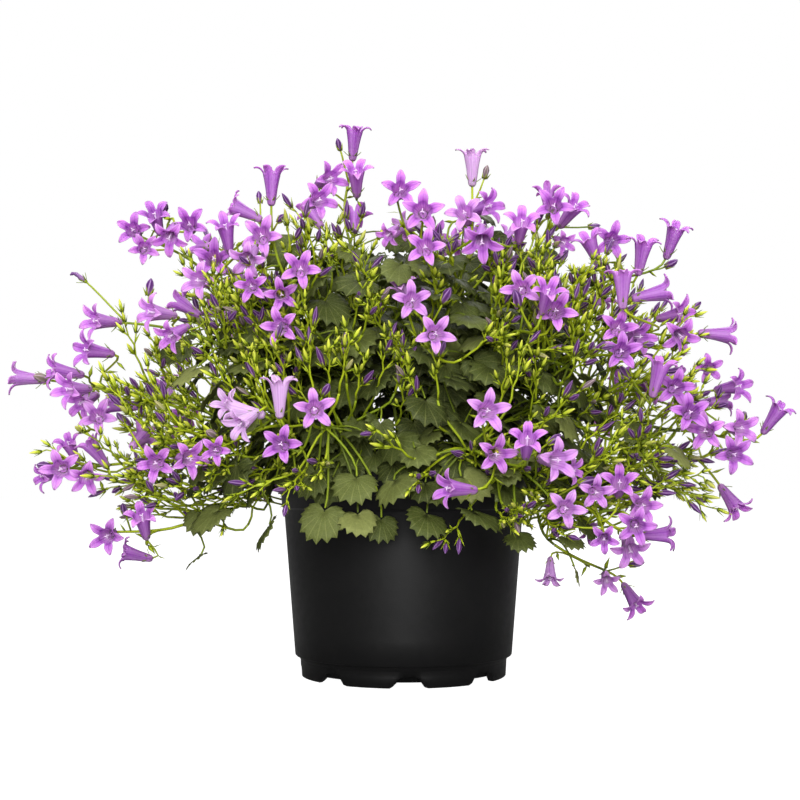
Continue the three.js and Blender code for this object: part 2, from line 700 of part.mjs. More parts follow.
// A closed skin of points and faces. Rings run anticlockwise round the way they grow.
class Skin {
  constructor() {
    this.points = [];
    this.faces = [];
  }

  add(point) {
    this.points.push(point);
    return this.points.length - 1;
  }

  face(a, b, c) {
    this.faces.push(a, b, c);
  }

  ring(centre, side, across, radius, count) {
    const ring = [];
    for (let k = 0; k < count; k += 1) {
      const angle = (2 * Math.PI * k) / count;
      const point = ahead(centre, side, radius * Math.cos(angle));
      ring.push(this.add(point.addScaledVector(across, radius * Math.sin(angle))));
    }
    return ring;
  }

  // Joins two rings, each step taken on the ring that lags behind
  bridge(lower, upper) {
    let i = 0;
    let j = 0;
    while (i < lower.length || j < upper.length) {
      const from = lower[i % lower.length];
      const to = upper[j % upper.length];
      if (j >= upper.length || (i < lower.length && (i + 1) / lower.length <= (j + 1) / upper.length)) {
        i += 1;
        this.face(from, lower[i % lower.length], to);
      } else {
        j += 1;
        this.face(from, upper[j % upper.length], to);
      }
    }
  }

  // Joins two rings at a joint, but for the face that looks most along a way: its corners are
  // the ring that a branch starts from
  openBridge(lower, upper, way) {
    const looks = lower.map((corner, k) => {
      const edge = this.points[lower[(k + 1) % 3]].clone().sub(this.points[corner]);
      const rise = this.points[upper[k]].clone().sub(this.points[corner]);
      return edge.cross(rise).normalize().dot(way);
    });
    const open = looks.indexOf(Math.max(...looks));
    for (let k = 0; k < 3; k += 1) {
      const next = (k + 1) % 3;
      this.face(lower[k], lower[next], upper[k]);
      if (k !== open) {
        this.face(lower[next], upper[next], upper[k]);
      }
    }
    return [lower[(open + 1) % 3], upper[(open + 1) % 3], upper[open]];
  }

  // A ring's corners, started so that each corner of the next ring falls between two of them
  matched(ring, next) {
    const miss = ring.map((_, turn) => next.reduce((sum, corner, k) => {
      const mates = [ring[(k + turn) % 3], ring[(k + turn + 1) % 3]];
      const point = this.points[corner];
      return sum + mates.reduce((part, mate) => part + point.distanceToSquared(this.points[mate]), 0);
    }, 0));
    const turn = miss.indexOf(Math.min(...miss));
    return ring.map((_, k) => ring[(k + turn) % 3]);
  }

  fan(ring, tip) {
    ring.forEach((point, k) => this.face(point, ring[(k + 1) % ring.length], tip));
  }

  // A three-sided stem along a curve, from a ring or from a closed end, with a joint for each
  // branch that leaves it. Returns its last ring and the rings where its branches start.
  stem(curve, { from = null, branches = [], radius, endRadius, endSide }) {
    const reach = JOINT / lengthOf(curve);
    const joints = branches.map((branch) => branch.t);
    const steps = stepsFor(curve);
    const stops = joints.flatMap((t) => [t - reach, t + reach]);
    for (let k = from ? 1 : 0; k <= steps; k += 1) {
      if (k === steps || joints.every((t) => Math.abs(t - k / steps) > 2 * reach)) {
        stops.push(k / steps);
      }
    }
    stops.sort((a, b) => a - b);
    const points = stops.map((t) => along(curve, t));
    const ways = points.map((point, k) => {
      const before = points[k - 1] ?? (from ? curve[0] : point);
      return (points[k + 1] ?? point).clone().sub(before).normalize();
    });
    ways[points.length - 1] = curve[3].clone().sub(curve[2]).normalize();
    if (!from) {
      ways[0] = curve[1].clone().sub(curve[0]).normalize();
    }
    const sides = [];
    for (let k = points.length - 1; k >= 0; k -= 1) {
      sides[k] = squareTo(ways[k], sides[k + 1] ?? endSide);
    }
    branches.forEach((branch) => {
      const k = stops.indexOf(branch.t - reach);
      const out = squareTo(ways[k], wayOf(branch));
      const across = ways[k].clone().cross(out);
      const side = out.clone().multiplyScalar(0.5).addScaledVector(across, -Math.sqrt(0.75));
      ways[k + 1] = ways[k];
      sides[k] = side;
      sides[k + 1] = side;
    });
    const sockets = [];
    const root = this.points.length;
    let ring = from;
    points.forEach((point, k) => {
      const across = ways[k].clone().cross(sides[k]);
      const thick = radius + (endRadius - radius) * stops[k];
      const next = this.ring(point, sides[k], across, thick, 3);
      const branch = joints.findIndex((t) => t + reach === stops[k]);
      if (branch >= 0) {
        sockets[branch] = this.openBridge(ring, next, wayOf(branches[branch]));
      } else if (ring) {
        this.bridge(this.matched(ring, next), next);
      }
      ring = next;
    });
    if (!from) {
      this.face(root, root + 2, root + 1);
    }
    return { ring, sockets };
  }

  places() {
    return Float32Array.from(this.points.flatMap((point) => point.toArray()));
  }

  solid() {
    return new wasm.Manifold(new wasm.Mesh({
      numProp: 3,
      vertProperties: this.places(),
      triVerts: Uint32Array.from(this.faces),
    }));
  }
}

// The way a branch goes as it leaves its stem
function wayOf({ curve }) {
  return along(curve, 0.25).sub(curve[0]).normalize();
}

// A bell at the end of its stalk: a tube that opens into five pointed lobes
function addBloom(skin, foot, { centre, axis, side, size, flare }) {
  const across = axis.clone().cross(side);
  const at = (angle, radius, height) => {
    const out = side.clone().multiplyScalar(Math.cos(angle)).addScaledVector(across, Math.sin(angle));
    return skin.add(ahead(ahead(centre, out, radius * size), axis, height * size));
  };
  const lobe = (angle, reach, spread, lift) => {
    const radial = MOUTH_RADIUS + reach * Math.sin(radians(flare));
    const height = reach * Math.cos(radians(flare)) - 1.5 + lift;
    return at(angle + Math.atan2(spread, radial), Math.hypot(radial, spread), height);
  };
  const step = (2 * Math.PI) / LOBES;
  const valleys = [];
  for (let k = 0; k < LOBES; k += 1) {
    valleys.push(at((k + 0.5) * step, MOUTH_RADIUS, -1.5));
  }
  skin.bridge(foot, valleys);
  const throat = at(0, 0, -THROAT_DEPTH);
  for (let k = 0; k < LOBES; k += 1) {
    const before = valleys[(k + LOBES - 1) % LOBES];
    const after = valleys[k];
    const left = lobe(k * step, LOBE_BELLY, -LOBE_WIDTH / 2, 0);
    const right = lobe(k * step, LOBE_BELLY, LOBE_WIDTH / 2, 0);
    const tip = lobe(k * step, LOBE_LENGTH, 0, 0);
    const ridge = lobe(k * step, -RIDGE_INSET, 0, LOBE_THICKNESS);
    for (const [a, b] of [[before, left], [left, tip], [tip, right], [right, after]]) {
      skin.face(ridge, a, b);
    }
    skin.face(throat, before, ridge);
    skin.face(throat, ridge, after);
    skin.face(before, right, left);
    skin.face(before, after, right);
    skin.face(left, right, tip);
  }
}

function addBud(skin, from, bud) {
  const side = squareTo(bud.axis, new THREE.Vector3(0.3, 1, 0.2));
  const shape = { from, radius: STALK_RADIUS, endRadius: 0.9, endSide: side };
  const { ring } = skin.stem(bud.curve, shape);
  const across = bud.axis.clone().cross(side);
  const long = BUD_LENGTH * bud.size;
  const end = bud.curve[3];
  const belly = skin.ring(ahead(end, bud.axis, long * 0.42), side, across, BUD_RADIUS * bud.size, 3);
  skin.bridge(ring, belly);
  skin.fan(belly, skin.add(ahead(end, bud.axis, long)));
}

// A toothed, heart-shaped blade, thickest at its middle, on its stalk
function addLeaf(skin, from, { leaf, curve }) {
  const endSide = leaf.up.clone().negate();
  const shape = { from, radius: STALK_RADIUS, endRadius: STALK_RADIUS, endSide };
  const { ring } = skin.stem(curve, shape);
  const [under, overRight, overLeft] = sortedCorners(skin, ring, leaf);
  const outline = [];
  for (const [forward, sideways] of LEAF_EDGE) {
    outline.push(skin.add(leafPoint(leaf, forward, -sideways, 0)));
  }
  outline.push(skin.add(leafPoint(leaf, 1, 0, 0)));
  for (const [forward, sideways] of LEAF_EDGE.slice().reverse()) {
    outline.push(skin.add(leafPoint(leaf, forward, sideways, 0)));
  }
  const above = skin.add(leafPoint(leaf, LEAF_MIDDLE, 0, LEAF_THICKNESS / 2));
  const below = skin.add(leafPoint(leaf, LEAF_MIDDLE, 0, -LEAF_THICKNESS / 2));
  skin.fan([overRight, ...outline, overLeft], above);
  skin.fan([overLeft, ...outline.slice().reverse(), overRight, under], below);
}

// The corners of a leaf stalk's last ring: its lowest one, then its right and left ones
function sortedCorners(skin, ring, leaf) {
  const lift = ring.map((corner) => skin.points[corner].dot(leaf.up));
  const low = lift.indexOf(Math.min(...lift));
  const rest = ring.filter((_, k) => k !== low);
  rest.sort((a, b) => skin.points[a].dot(leaf.side) - skin.points[b].dot(leaf.side));
  return [ring[low], rest[0], rest[1]];
}

function spraySkin(spray) {
  const skin = new Skin();
  const [first, ...others] = spray.stalks;
  const branches = [...others, ...spray.buds];
  const shape = { branches, radius: TWIG_RADIUS, endRadius: 1.2, endSide: first.bloom.side };
  const { ring, sockets } = skin.stem(first.curve, shape);
  addBloom(skin, ring, first.bloom);
  branches.forEach((branch, k) => {
    if (branch.bloom) {
      const { side, size } = branch.bloom;
      const stalk = { from: sockets[k], radius: STALK_RADIUS, endRadius: 1.2 * size, endSide: side };
      addBloom(skin, skin.stem(branch.curve, stalk).ring, branch.bloom);
    } else {
      addBud(skin, sockets[k], branch);
    }
  });
  return skin;
}

function shootSkin(shoot) {
  const skin = new Skin();
  const side = new THREE.Vector3(1, 0, 0);
  const across = new THREE.Vector3(0, 1, 0);
  const deep = shoot.foot.clone().setZ(SOIL_TOP - HOLE_DEPTH);
  const bottom = skin.ring(deep, side, across, SHOOT_RADIUS, 3);
  const ground = skin.ring(shoot.foot, side, across, SHOOT_RADIUS, 3);
  skin.bridge(bottom, ground);
  skin.face(bottom[0], bottom[2], bottom[1]);
  let from = ground;
  shoot.stems.forEach((stem, number) => {
    const leaves = shoot.leaves.filter((leaf) => leaf.stem === number);
    const fork = number === 0 ? shoot.stems.slice(1).map(({ curve }) => ({ curve, t: FORK_AT })) : [];
    const branches = [...leaves, ...fork];
    const radius = number === 0 ? SHOOT_RADIUS : TWIG_RADIUS;
    const shape = { from, branches, radius, endRadius: TWIG_RADIUS, endSide: side };
    const { ring, sockets } = skin.stem(stem.curve, shape);
    skin.face(ring[0], ring[1], ring[2]);
    leaves.forEach((leaf, k) => addLeaf(skin, sockets[k], leaf));
    from = sockets[leaves.length];
  });
  return skin;
}

// The hole that a shoot's foot stands in
function holeSolid(foot, radius, bottom) {
  const skin = new Skin();
  const low = new THREE.Vector3(foot.x, foot.y, bottom);
  const high = new THREE.Vector3(foot.x, foot.y, foot.z + 2);
  const side = new THREE.Vector3(1, 0, 0);
  const across = new THREE.Vector3(0, 1, 0);
  const lower = skin.ring(low, side, across, radius, 3);
  const upper = skin.ring(high, side, across, radius, 3);
  skin.face(lower[0], lower[2], lower[1]);
  skin.bridge(lower, upper);
  skin.face(upper[0], upper[1], upper[2]);
  return skin.solid();
}

// Three.js geometry to a solid, and back
function solidOf(geometry) {
  const skin = new Skin();
  const places = new Map();
  const position = geometry.getAttribute("position");
  const index = [];
  for (let k = 0; k < position.count; k += 1) {
    const point = new THREE.Vector3().fromBufferAttribute(position, k);
    const key = point.toArray().map((v) => Math.round(v * 1000)).join();
    if (!places.has(key)) {
      places.set(key, skin.add(point));
    }
    index.push(places.get(key));
  }
  const order = geometry.index ? Array.from(geometry.index.array) : index.map((_, k) => k);
  for (let k = 0; k < order.length; k += 3) {
    const [a, b, c] = order.slice(k, k + 3).map((v) => index[v]);
    if (a !== b && b !== c && c !== a) {
      skin.face(a, b, c);
    }
  }
  return skin.solid();
}

function meshOf(name, places, faces, material) {
  const geometry = new THREE.BufferGeometry();
  geometry.setAttribute("position", new THREE.BufferAttribute(places, 3));
  geometry.setIndex(Array.from(faces));
  geometry.computeVertexNormals();
  const mesh = new THREE.Mesh(geometry, material);
  mesh.name = name;
  return mesh;
}

function turned(profile, sides) {
  const points = profile.map(([radius, height]) => new THREE.Vector2(radius, height));
  return new THREE.LatheGeometry(points, sides).rotateX(Math.PI / 2);
}

function wallRadius(z) {
  const share = (z - FOOT_HEIGHT) / (POT_HEIGHT - RIM_BAND - FOOT_HEIGHT);
  return FOOT_TOP_RADIUS + (RIM_RADIUS - RIM_STEP - FOOT_TOP_RADIUS) * share;
}

function potSolid() {
  const band = POT_HEIGHT - RIM_BAND;
  const pot = solidOf(turned([
    [0, FLOOR_LEVEL], [FOOT_RADIUS - 4, FLOOR_LEVEL], [FOOT_RADIUS - 3, 0], [FOOT_RADIUS, 0],
    [FOOT_RADIUS + 0.6, FOOT_HEIGHT * 0.5], [FOOT_TOP_RADIUS, FOOT_HEIGHT], [wallRadius(band), band],
    [RIM_RADIUS, band + 0.8], [RIM_RADIUS, POT_HEIGHT - 1], [RIM_RADIUS - 0.9, POT_HEIGHT],
    [RIM_RADIUS - WALL - 0.6, POT_HEIGHT], [RIM_RADIUS - WALL - 1, band + 2],
    [wallRadius(band) - WALL, band - 2],
    [FOOT_RADIUS - WALL, FLOOR_LEVEL + WALL], [0, FLOOR_LEVEL + WALL],
  ], POT_SIDES));
  return cutDrains(cutNotches(pot));
}

function cutNotches(pot) {
  const shape = new THREE.Shape([
    new THREE.Vector2(-NOTCH_WIDE / 2, -1), new THREE.Vector2(NOTCH_WIDE / 2, -1),
    new THREE.Vector2(NOTCH_NARROW / 2, NOTCH_HEIGHT), new THREE.Vector2(-NOTCH_NARROW / 2, NOTCH_HEIGHT),
  ]);
  let cut = pot;
  for (let k = 0; k < NOTCHES; k += 1) {
    const block = new THREE.ExtrudeGeometry(shape, { depth: 2.6, bevelEnabled: false });
    block.rotateX(Math.PI / 2);
    block.translate(0, -FOOT_RADIUS + 1.9, 0);
    block.rotateZ(radians(NOTCH_TURN + (360 * k) / NOTCHES));
    cut = cut.subtract(solidOf(block));
  }
  return cut;
}

function cutDrains(pot) {
  let cut = pot;
  for (let k = 0; k < DRAINS; k += 1) {
    const angle = (2 * Math.PI * k) / DRAINS;
    const drain = new THREE.CylinderGeometry(DRAIN_RADIUS, DRAIN_RADIUS, 8, 6).rotateX(Math.PI / 2);
    drain.translate(DRAIN_CIRCLE * Math.cos(angle), DRAIN_CIRCLE * Math.sin(angle), FLOOR_LEVEL + 1);
    cut = cut.subtract(solidOf(drain));
  }
  return cut;
}

// Soil that follows the pot's inside, uneven on top
function soilSolid(shoots) {
  const band = POT_HEIGHT - RIM_BAND;
  const inner = RIM_RADIUS - WALL - 1 - SOIL_GAP;
  const geometry = turned([
    [0, FLOOR_LEVEL + WALL + SOIL_GAP],
    [FOOT_RADIUS - WALL - 2 * SOIL_GAP, FLOOR_LEVEL + WALL + SOIL_GAP],
    [wallRadius(band) - WALL - SOIL_GAP, band - 2], [inner, band + 2], [inner, SOIL_TOP - 3],
    [inner - 7, SOIL_TOP], [42, SOIL_TOP], [0, SOIL_TOP],
  ], POT_SIDES / 2);
  const position = geometry.getAttribute("position");
  for (let k = 0; k < position.count; k += 1) {
    if (position.getZ(k) > SOIL_TOP - 1) {
      const x = position.getX(k);
      const y = position.getY(k);
      position.setZ(k, SOIL_TOP + SOIL_BUMP * Math.sin(x * 0.11) * Math.cos(y * 0.13));
    }
  }
  let soil = solidOf(geometry);
  for (const shoot of shoots) {
    const bottom = SOIL_TOP - HOLE_DEPTH - SOIL_GAP;
    soil = soil.subtract(holeSolid(shoot.foot, SHOOT_RADIUS + HOLE_CLEARANCE, bottom));
  }
  return soil;
}

function material(color, roughness) {
  return new THREE.MeshStandardMaterial({ color, roughness, metalness: 0 });
}

const plant = growPlant();
const group = new THREE.Group();
const addSolid = (name, solid, look) => {
  const { vertProperties, triVerts } = solid.getMesh();
  group.add(meshOf(name, vertProperties, triVerts, look));
};
const addSkin = (name, skin, look) => group.add(meshOf(name, skin.places(), skin.faces, look));
addSolid("pot", potSolid(), material(0x18181a, 0.45));
addSolid("soil", soilSolid(plant.shoots), material(0x2c2119, 0.95));
for (const shoot of plant.shoots) {
  addSkin(`shoot_${shoot.name}`, shootSkin(shoot), material(0x5f7a35, 0.6));
}
for (const spray of Object.values(plant.sprays)) {
  addSkin(`spray_${spray.name}`, spraySkin(spray), material(0xb070dc, 0.55));
}

export default group;
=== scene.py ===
import math

import bpy
import numpy as np
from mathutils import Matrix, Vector, noise


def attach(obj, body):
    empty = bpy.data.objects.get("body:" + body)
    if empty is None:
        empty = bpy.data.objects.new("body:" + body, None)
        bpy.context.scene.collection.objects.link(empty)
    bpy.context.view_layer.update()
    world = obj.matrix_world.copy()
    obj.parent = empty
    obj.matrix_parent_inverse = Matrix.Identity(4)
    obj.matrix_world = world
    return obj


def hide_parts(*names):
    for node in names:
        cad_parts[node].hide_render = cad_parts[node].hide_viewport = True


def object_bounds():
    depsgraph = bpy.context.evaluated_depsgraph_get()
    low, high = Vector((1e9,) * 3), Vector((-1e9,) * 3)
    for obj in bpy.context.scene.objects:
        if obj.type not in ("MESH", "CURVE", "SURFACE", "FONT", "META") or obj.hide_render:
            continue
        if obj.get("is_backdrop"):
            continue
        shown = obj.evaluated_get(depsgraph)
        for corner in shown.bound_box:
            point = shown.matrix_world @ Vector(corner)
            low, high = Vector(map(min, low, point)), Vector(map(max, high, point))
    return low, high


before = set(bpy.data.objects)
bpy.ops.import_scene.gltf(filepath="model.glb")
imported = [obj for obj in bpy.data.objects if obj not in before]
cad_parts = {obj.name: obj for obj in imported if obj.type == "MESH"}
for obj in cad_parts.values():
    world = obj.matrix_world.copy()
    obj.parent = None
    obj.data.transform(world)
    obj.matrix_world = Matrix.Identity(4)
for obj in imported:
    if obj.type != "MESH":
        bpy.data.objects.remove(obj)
CAD_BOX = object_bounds()

# Lengths are in millimetres here, and turn to metres as each mesh is made
MM = 0.001

# Pot
POT_SIDES = 192
POT_HEIGHT = 140
RIM_RADIUS = 85
RIM_BAND = 27
RIM_STEP = 1.4
WALL = 1.8
FOOT_HEIGHT = 14
FOOT_TOP_RADIUS = 73.5
FOOT_RADIUS = 69.4
FLOOR_LEVEL = 5
NOTCHES = 8
NOTCH_HEIGHT = 6.8
NOTCH_WIDE = 22
NOTCH_NARROW = 12
NOTCH_TURN = 2.6
DRAINS = 6
DRAIN_RADIUS = 5
DRAIN_CIRCLE = 46
SOIL_TOP = 127
SOIL_BUMP = 1.6

# Stems
HOLE_SPACE = 12
SHOOT_RADIUS = 1.4
TWIG_RADIUS = 1.0
STALK_RADIUS = 0.8
STALK_STEP = 22
SHOOT_STEP = 27
JOINT_SPACE = 3.6
LONG_STEM = 90
STRAIGHT_BOW = 2
BOW_STEP = 3.6
NODE_GAP = 0.3
FORK_AT = 0.5

# Blooms and buds
TUBE_LENGTH = 19
MOUTH_RADIUS = 4.8
LOBES = 5
LOBE_LENGTH = 9.8
BUD_LENGTH = 11
BUD_RADIUS = 2.3
SPRAY_BUDS = 1

# Leaves
LEAF_MIDDLE = 0.36
LEAF_DROOP = 0.14
SHOOT_LEAVES = 2

# The dome of flowers
DOME_WIDTH = 270
DOME_DEPTH = 158
DOME_MIDDLE = 150
DOME_RISE = 238
DOME_DROP = 120
LEAF_DOME = 0.74
DEPTH_SCATTER = 24
BACK_SPREAD = 24
EYE = np.array([-2.4, -983.0, 137.0])

# Room between pieces, each of which is a row of balls
ROOM_BALLS = 60000
CLEARANCE = 0.5
YOUNG = 5.5
BALL_STEP = 2.4
BALL_START = 1.5
SHARPEST = 0.1
NARROW_DEPTH = 17
NARROW_RADIUS = 2.2

# How often a place is tried for each kind of piece
BLOOM_TRIES = 21
ROOT_TRIES = 40
STALK_TRIES = 1200
STEM_TRIES = 600
BUD_TRIES = 80
LEAF_TRIES = 16
SHOOT_LEAF_TRIES = 60

# The first number of each kind of piece. It tells the pieces apart and seeds their draws.
STALK_NUMBER = 500
SPRAY_NUMBER = 1000
ROOT_NUMBER = 2000
SHOOT_NUMBER = 3000
BUD_NUMBER = 5000
LEAF_NUMBER = 6000
SHOOT_LEAF_NUMBER = 7000
MORE_LEAF_NUMBER = 12000
TWIG_NUMBER = 14000
CRUMB_SEED = 8000
BELLS_SEED = 9000
LEAFY_SEED = 9500
TWIG_SEED = 300
PLAIN_LEAF_SEED = 20

# Front blooms in their sprays: [x, z, turn, tip, size, back]. x and z are where the mouth is seen
# from the front, in mm in the plane of the pot's axis. Turn and tip are where it faces, in degrees
# to the right and up. Back is how far it stands inside the dome, in mm.
FRONT_SPRAYS = {
    "far_left": [
        [-266, 202, -85, 0], [-241, 207, -55, 5], [-219, 221, -50, 5],
        [-231, 194, -25, 0], [-222, 184, -25, -15, 1, 14], [-210, 175, 0, 0],
    ],
    "left_face": [
        [-215, 156, -70, 50, 0.95], [-235, 139, 0, 0, 1.1], [-217, 133, 12, -20, 0.95],
        [-248, 134, -60, -5, 0.9, 50], [-230, 157, -20, 45, 0.9, 70],
    ],
    "left_inner": [[-179, 161, 160, 20, 0.9, 60], [-170, 143, 0, 0], [-146, 146, 25, 0]],
    "low_left": [[-203, 93, 0, 0], [-190, 82, -85, 10, 0.9, 8], [-179, 107, 0, 45]],
    "left_shoulder": [
        [-213, 241, -50, 0], [-175, 247, -40, 5],
        [-154, 253, -120, 35, 0.9, 70], [-161, 230, -30, -30, 0.9, 12],
    ],
    "corner_left": [
        [-187, 304, -5, 0], [-172, 315, 0, 35, 1, 8], [-179, 291, 10, 0, 0.85, 16],
        [-162, 298, 0, -30], [-148, 308, 0, 0, 1, 12],
    ],
    "upper_left": [
        [-123, 307, 0, 50], [-117, 320, -80, 25, 0.95, 14], [-139, 292, -150, 10, 0.85, 70],
        [-131, 284, 0, 0, 1.08], [-142, 269, -10, -5],
    ],
    "crown_left": [[-98, 300, 0, 0, 1.1], [-108, 283, -5, -30], [-105, 265, 0, 0, 0.85], [-91, 343, 10, 80]],
    "inner_left": [[-71, 277, 5, 0], [-84, 259, 0, -10, 0.9, 20], [-85, 237, -10, 0]],
    "top_left": [[-34, 373, 10, 80], [-33, 345, 0, 40], [-50, 340, 25, 0, 1, 10], [-58, 325, 25, 0]],
    "top_middle": [
        [-2, 332, 0, 5], [13, 317, 0, 0, 1.1], [0, 306, -140, 0, 0.85, 70],
        [15, 292, 0, 0], [22, 300, 30, 0, 0.9, 60], [-11, 300, -30, -30, 0.7, 8],
    ],
    "top_right": [
        [48, 356, 0, 85], [42, 316, -5, 5], [60, 321, 40, 5, 1, 10],
        [54, 295, 0, -35, 1.1], [82, 310, 0, 35],
    ],
    "shoulder_right": [
        [104, 321, 0, 5], [99, 330, 180, 60, 0.9, 60],
        [119, 321, 40, 35], [111, 295, 20, -20, 0.7],
    ],
    "corner_right": [[128, 297, -40, 60, 0.95], [144, 297, 0, 0], [166, 294, 30, 65], [188, 304, 30, 60]],
    "right_shoulder": [
        [151, 272, 0, 85], [180, 261, 85, 15], [192, 246, 35, 0], [191, 230, 5, -25], [224, 231, 85, -5],
    ],
    "right_inner": [[148, 236, 0, 5], [163, 230, 15, 0, 0.95, 10], [150, 220, 0, -5, 1, 20]],
    "right_middle": [
        [177, 210, 30, 65], [187, 195, 0, 0], [171, 193, 20, -20, 0.85, 50],
        [210, 208, 0, 0, 0.8], [231, 196, 35, 0],
    ],
    "far_right": [[258, 180, 55, 50], [232, 167, 5, 0], [227, 149, 5, 0], [222, 186, 80, 10, 0.9, 40]],
    "right_face": [[197, 178, 0, 0], [207, 165, -25, 0, 1, 12], [228, 112, 50, -50]],
    "low_right": [
        [132, 123, 0, 0, 0.9], [148, 130, 0, 30], [164, 114, 5, 0], [159, 100, 0, -5, 1, 10],
        [155, 83, 0, -25], [181, 94, 80, 5, 0.95], [137, 91, -10, 0, 0.75],
    ],
    "lowest_right": [[159, 46, 40, -50], [139, 62, 0, -20, 0.75], [100, 64, 0, -60, 0.75]],
    "front_right": [[106, 145, 25, 0, 1.1], [117, 138, 40, 0, 0.75, 16], [111, 112, 0, 0]],
    "front_middle": [[58, 179, 0, 0, 1.08], [85, 160, 0, 35], [64, 149, 5, 0], [30, 126, -60, 10]],
    "centre_top": [[6, 255, 0, 0], [-1, 265, -40, 50, 0.9, 50], [22, 232, 0, 0]],
    "centre_right": [[81, 263, -5, 0], [100, 262, 5, 35, 0.95], [105, 248, 5, 0, 1.08]],
    "centre_left": [[-61, 180, 0, 0], [-84, 156, 0, 5], [-85, 197, 0, 85]],
    "front_left": [
        [-118, 180, -85, 5], [-113, 169, -40, -30, 0.9],
        [-122, 184, -20, 15, 0.85, 22], [-129, 152, 0, 0, 0.75],
    ],
}

# Sprays of the back: [x, z, number of blooms], seen from behind
BACK_SPRAYS = {
    "back_far_left": [-196, 196, 4],
    "back_low_left": [-150, 112, 4],
    "back_left": [-128, 262, 4],
    "back_inner_left": [-72, 186, 4],
    "back_top_left": [-62, 318, 4],
    "back_top_right": [52, 322, 4],
    "back_inner_right": [48, 222, 4],
    "back_low_right": [92, 128, 4],
    "back_right": [138, 268, 4],
    "back_far_right": [196, 184, 4],
}

# Each shoot, with the sprays that it carries
SHOOTS = {
    "far_left": ["far_left", "left_shoulder"],
    "left": ["left_face", "low_left"],
    "left_inner": ["left_inner", "front_left"],
    "corner_left": ["corner_left", "upper_left"],
    "upper_left": ["crown_left", "inner_left"],
    "top": ["top_left", "top_middle"],
    "top_right": ["top_right", "centre_top"],
    "upper_right": ["shoulder_right", "centre_right"],
    "corner_right": ["corner_right", "right_shoulder"],
    "right": ["right_middle", "right_inner"],
    "far_right": ["far_right", "right_face"],
    "low_right": ["low_right", "lowest_right"],
    "front_right": ["front_right", "front_middle"],
    "front_left": ["centre_left"],
    "back_left": ["back_far_left", "back_low_left"],
    "back_upper_left": ["back_left", "back_inner_left"],
    "back_top": ["back_top_left", "back_top_right"],
    "back_right": ["back_inner_right", "back_low_right"],
    "back_upper_right": ["back_right", "back_far_right"],
}

# Front leaves as they are seen from the front: [x, z, length], in mm
FRONT_LEAVES = [
    [-63, 133, 22], [-34, 128, 25], [-7, 125, 28], [-57, 106, 25], [-33, 104, 21], [-16, 101, 20],
    [17, 103, 24], [50, 104, 27], [73, 122, 25], [42, 128, 25], [81, 90, 18], [-131, 106, 24],
    [-96, 96, 21], [-142, 77, 15], [-147, 204, 23], [-133, 191, 22], [113, 171, 23], [135, 192, 27],
    [171, 141, 18], [190, 149, 18], [114, 89, 16], [126, 99, 16], [120, 69, 14],
]


# Random draws: one stream for each piece, as in the part
DRAW_SPREAD = 2654435761
DRAW_FACTOR = 1664525
DRAW_SHIFT = 1013904223
DRAW_SIZE = 2**32


def draws(seed):
    state = [(seed + 1) * DRAW_SPREAD % DRAW_SIZE]

    def draw():
        state[0] = (state[0] * DRAW_FACTOR + DRAW_SHIFT) % DRAW_SIZE
        return state[0] / DRAW_SIZE

    for _ in range(4):
        draw()
    return draw


def draw_vector(draw, reach):
    return np.array([(draw() * 2 - 1) * reach for _ in range(3)])


def unit(vector):
    return vector / math.sqrt(vector @ vector)


def square_to(axis, vector):
    return unit(vector - axis * (vector @ axis))


def distance(a, b):
    return math.sqrt((a - b) @ (a - b))


# The angle of a place that is k steps of so many round a circle
def step_round(k, count):
    return 2 * math.pi * k / count


# A direction at an angle round an axis, given as its two square directions
def around(side, across, angle):
    return side * math.cos(angle) + across * math.sin(angle)


# A place round the pot's axis
def round_pot(radius, angle, z):
    return np.array([radius * math.cos(angle), radius * math.sin(angle), z])


def axes_of(side, axis):
    return [side, np.cross(axis, side), axis]


def facing(turn, tip):
    turn, tip = math.radians(turn), math.radians(tip)
    return np.array([math.sin(turn) * math.cos(tip), -math.cos(turn) * math.cos(tip), math.sin(tip)])


# Bezier curves, each held as its four control points
def along(curve, t):
    s = 1 - t
    return curve[0] * s**3 + curve[1] * (3 * s * s * t) + curve[2] * (3 * s * t * t) + curve[3] * t**3


def samples(curve, steps):
    t = np.arange(steps + 1)[:, None] / steps
    return along(curve, t)


def length_of(curve):
    points = samples(curve, 12)
    return float(np.sqrt((np.diff(points, axis=0) ** 2).sum(1)).sum())


def steps_for(curve, length):
    if length > LONG_STEM:
        return math.floor(length / SHOOT_STEP + 0.5)
    bow = distance(along(curve, 0.5), (curve[0] + curve[3]) / 2)
    if bow < STRAIGHT_BOW:
        return 1
    return max(2, math.floor(length / STALK_STEP + 0.5), math.ceil(bow / BOW_STEP))


def parting(curve, t, target):
    way = unit(along(curve, t + 0.01) - along(curve, t - 0.01))
    return unit(square_to(way, target - along(curve, t)) + way * 0.8)


# Where pieces are, kept as balls of [point, radius, young], so that none grows through another.
# A ball is young where its piece has only just left the one that it grows from.
NEAR = 14


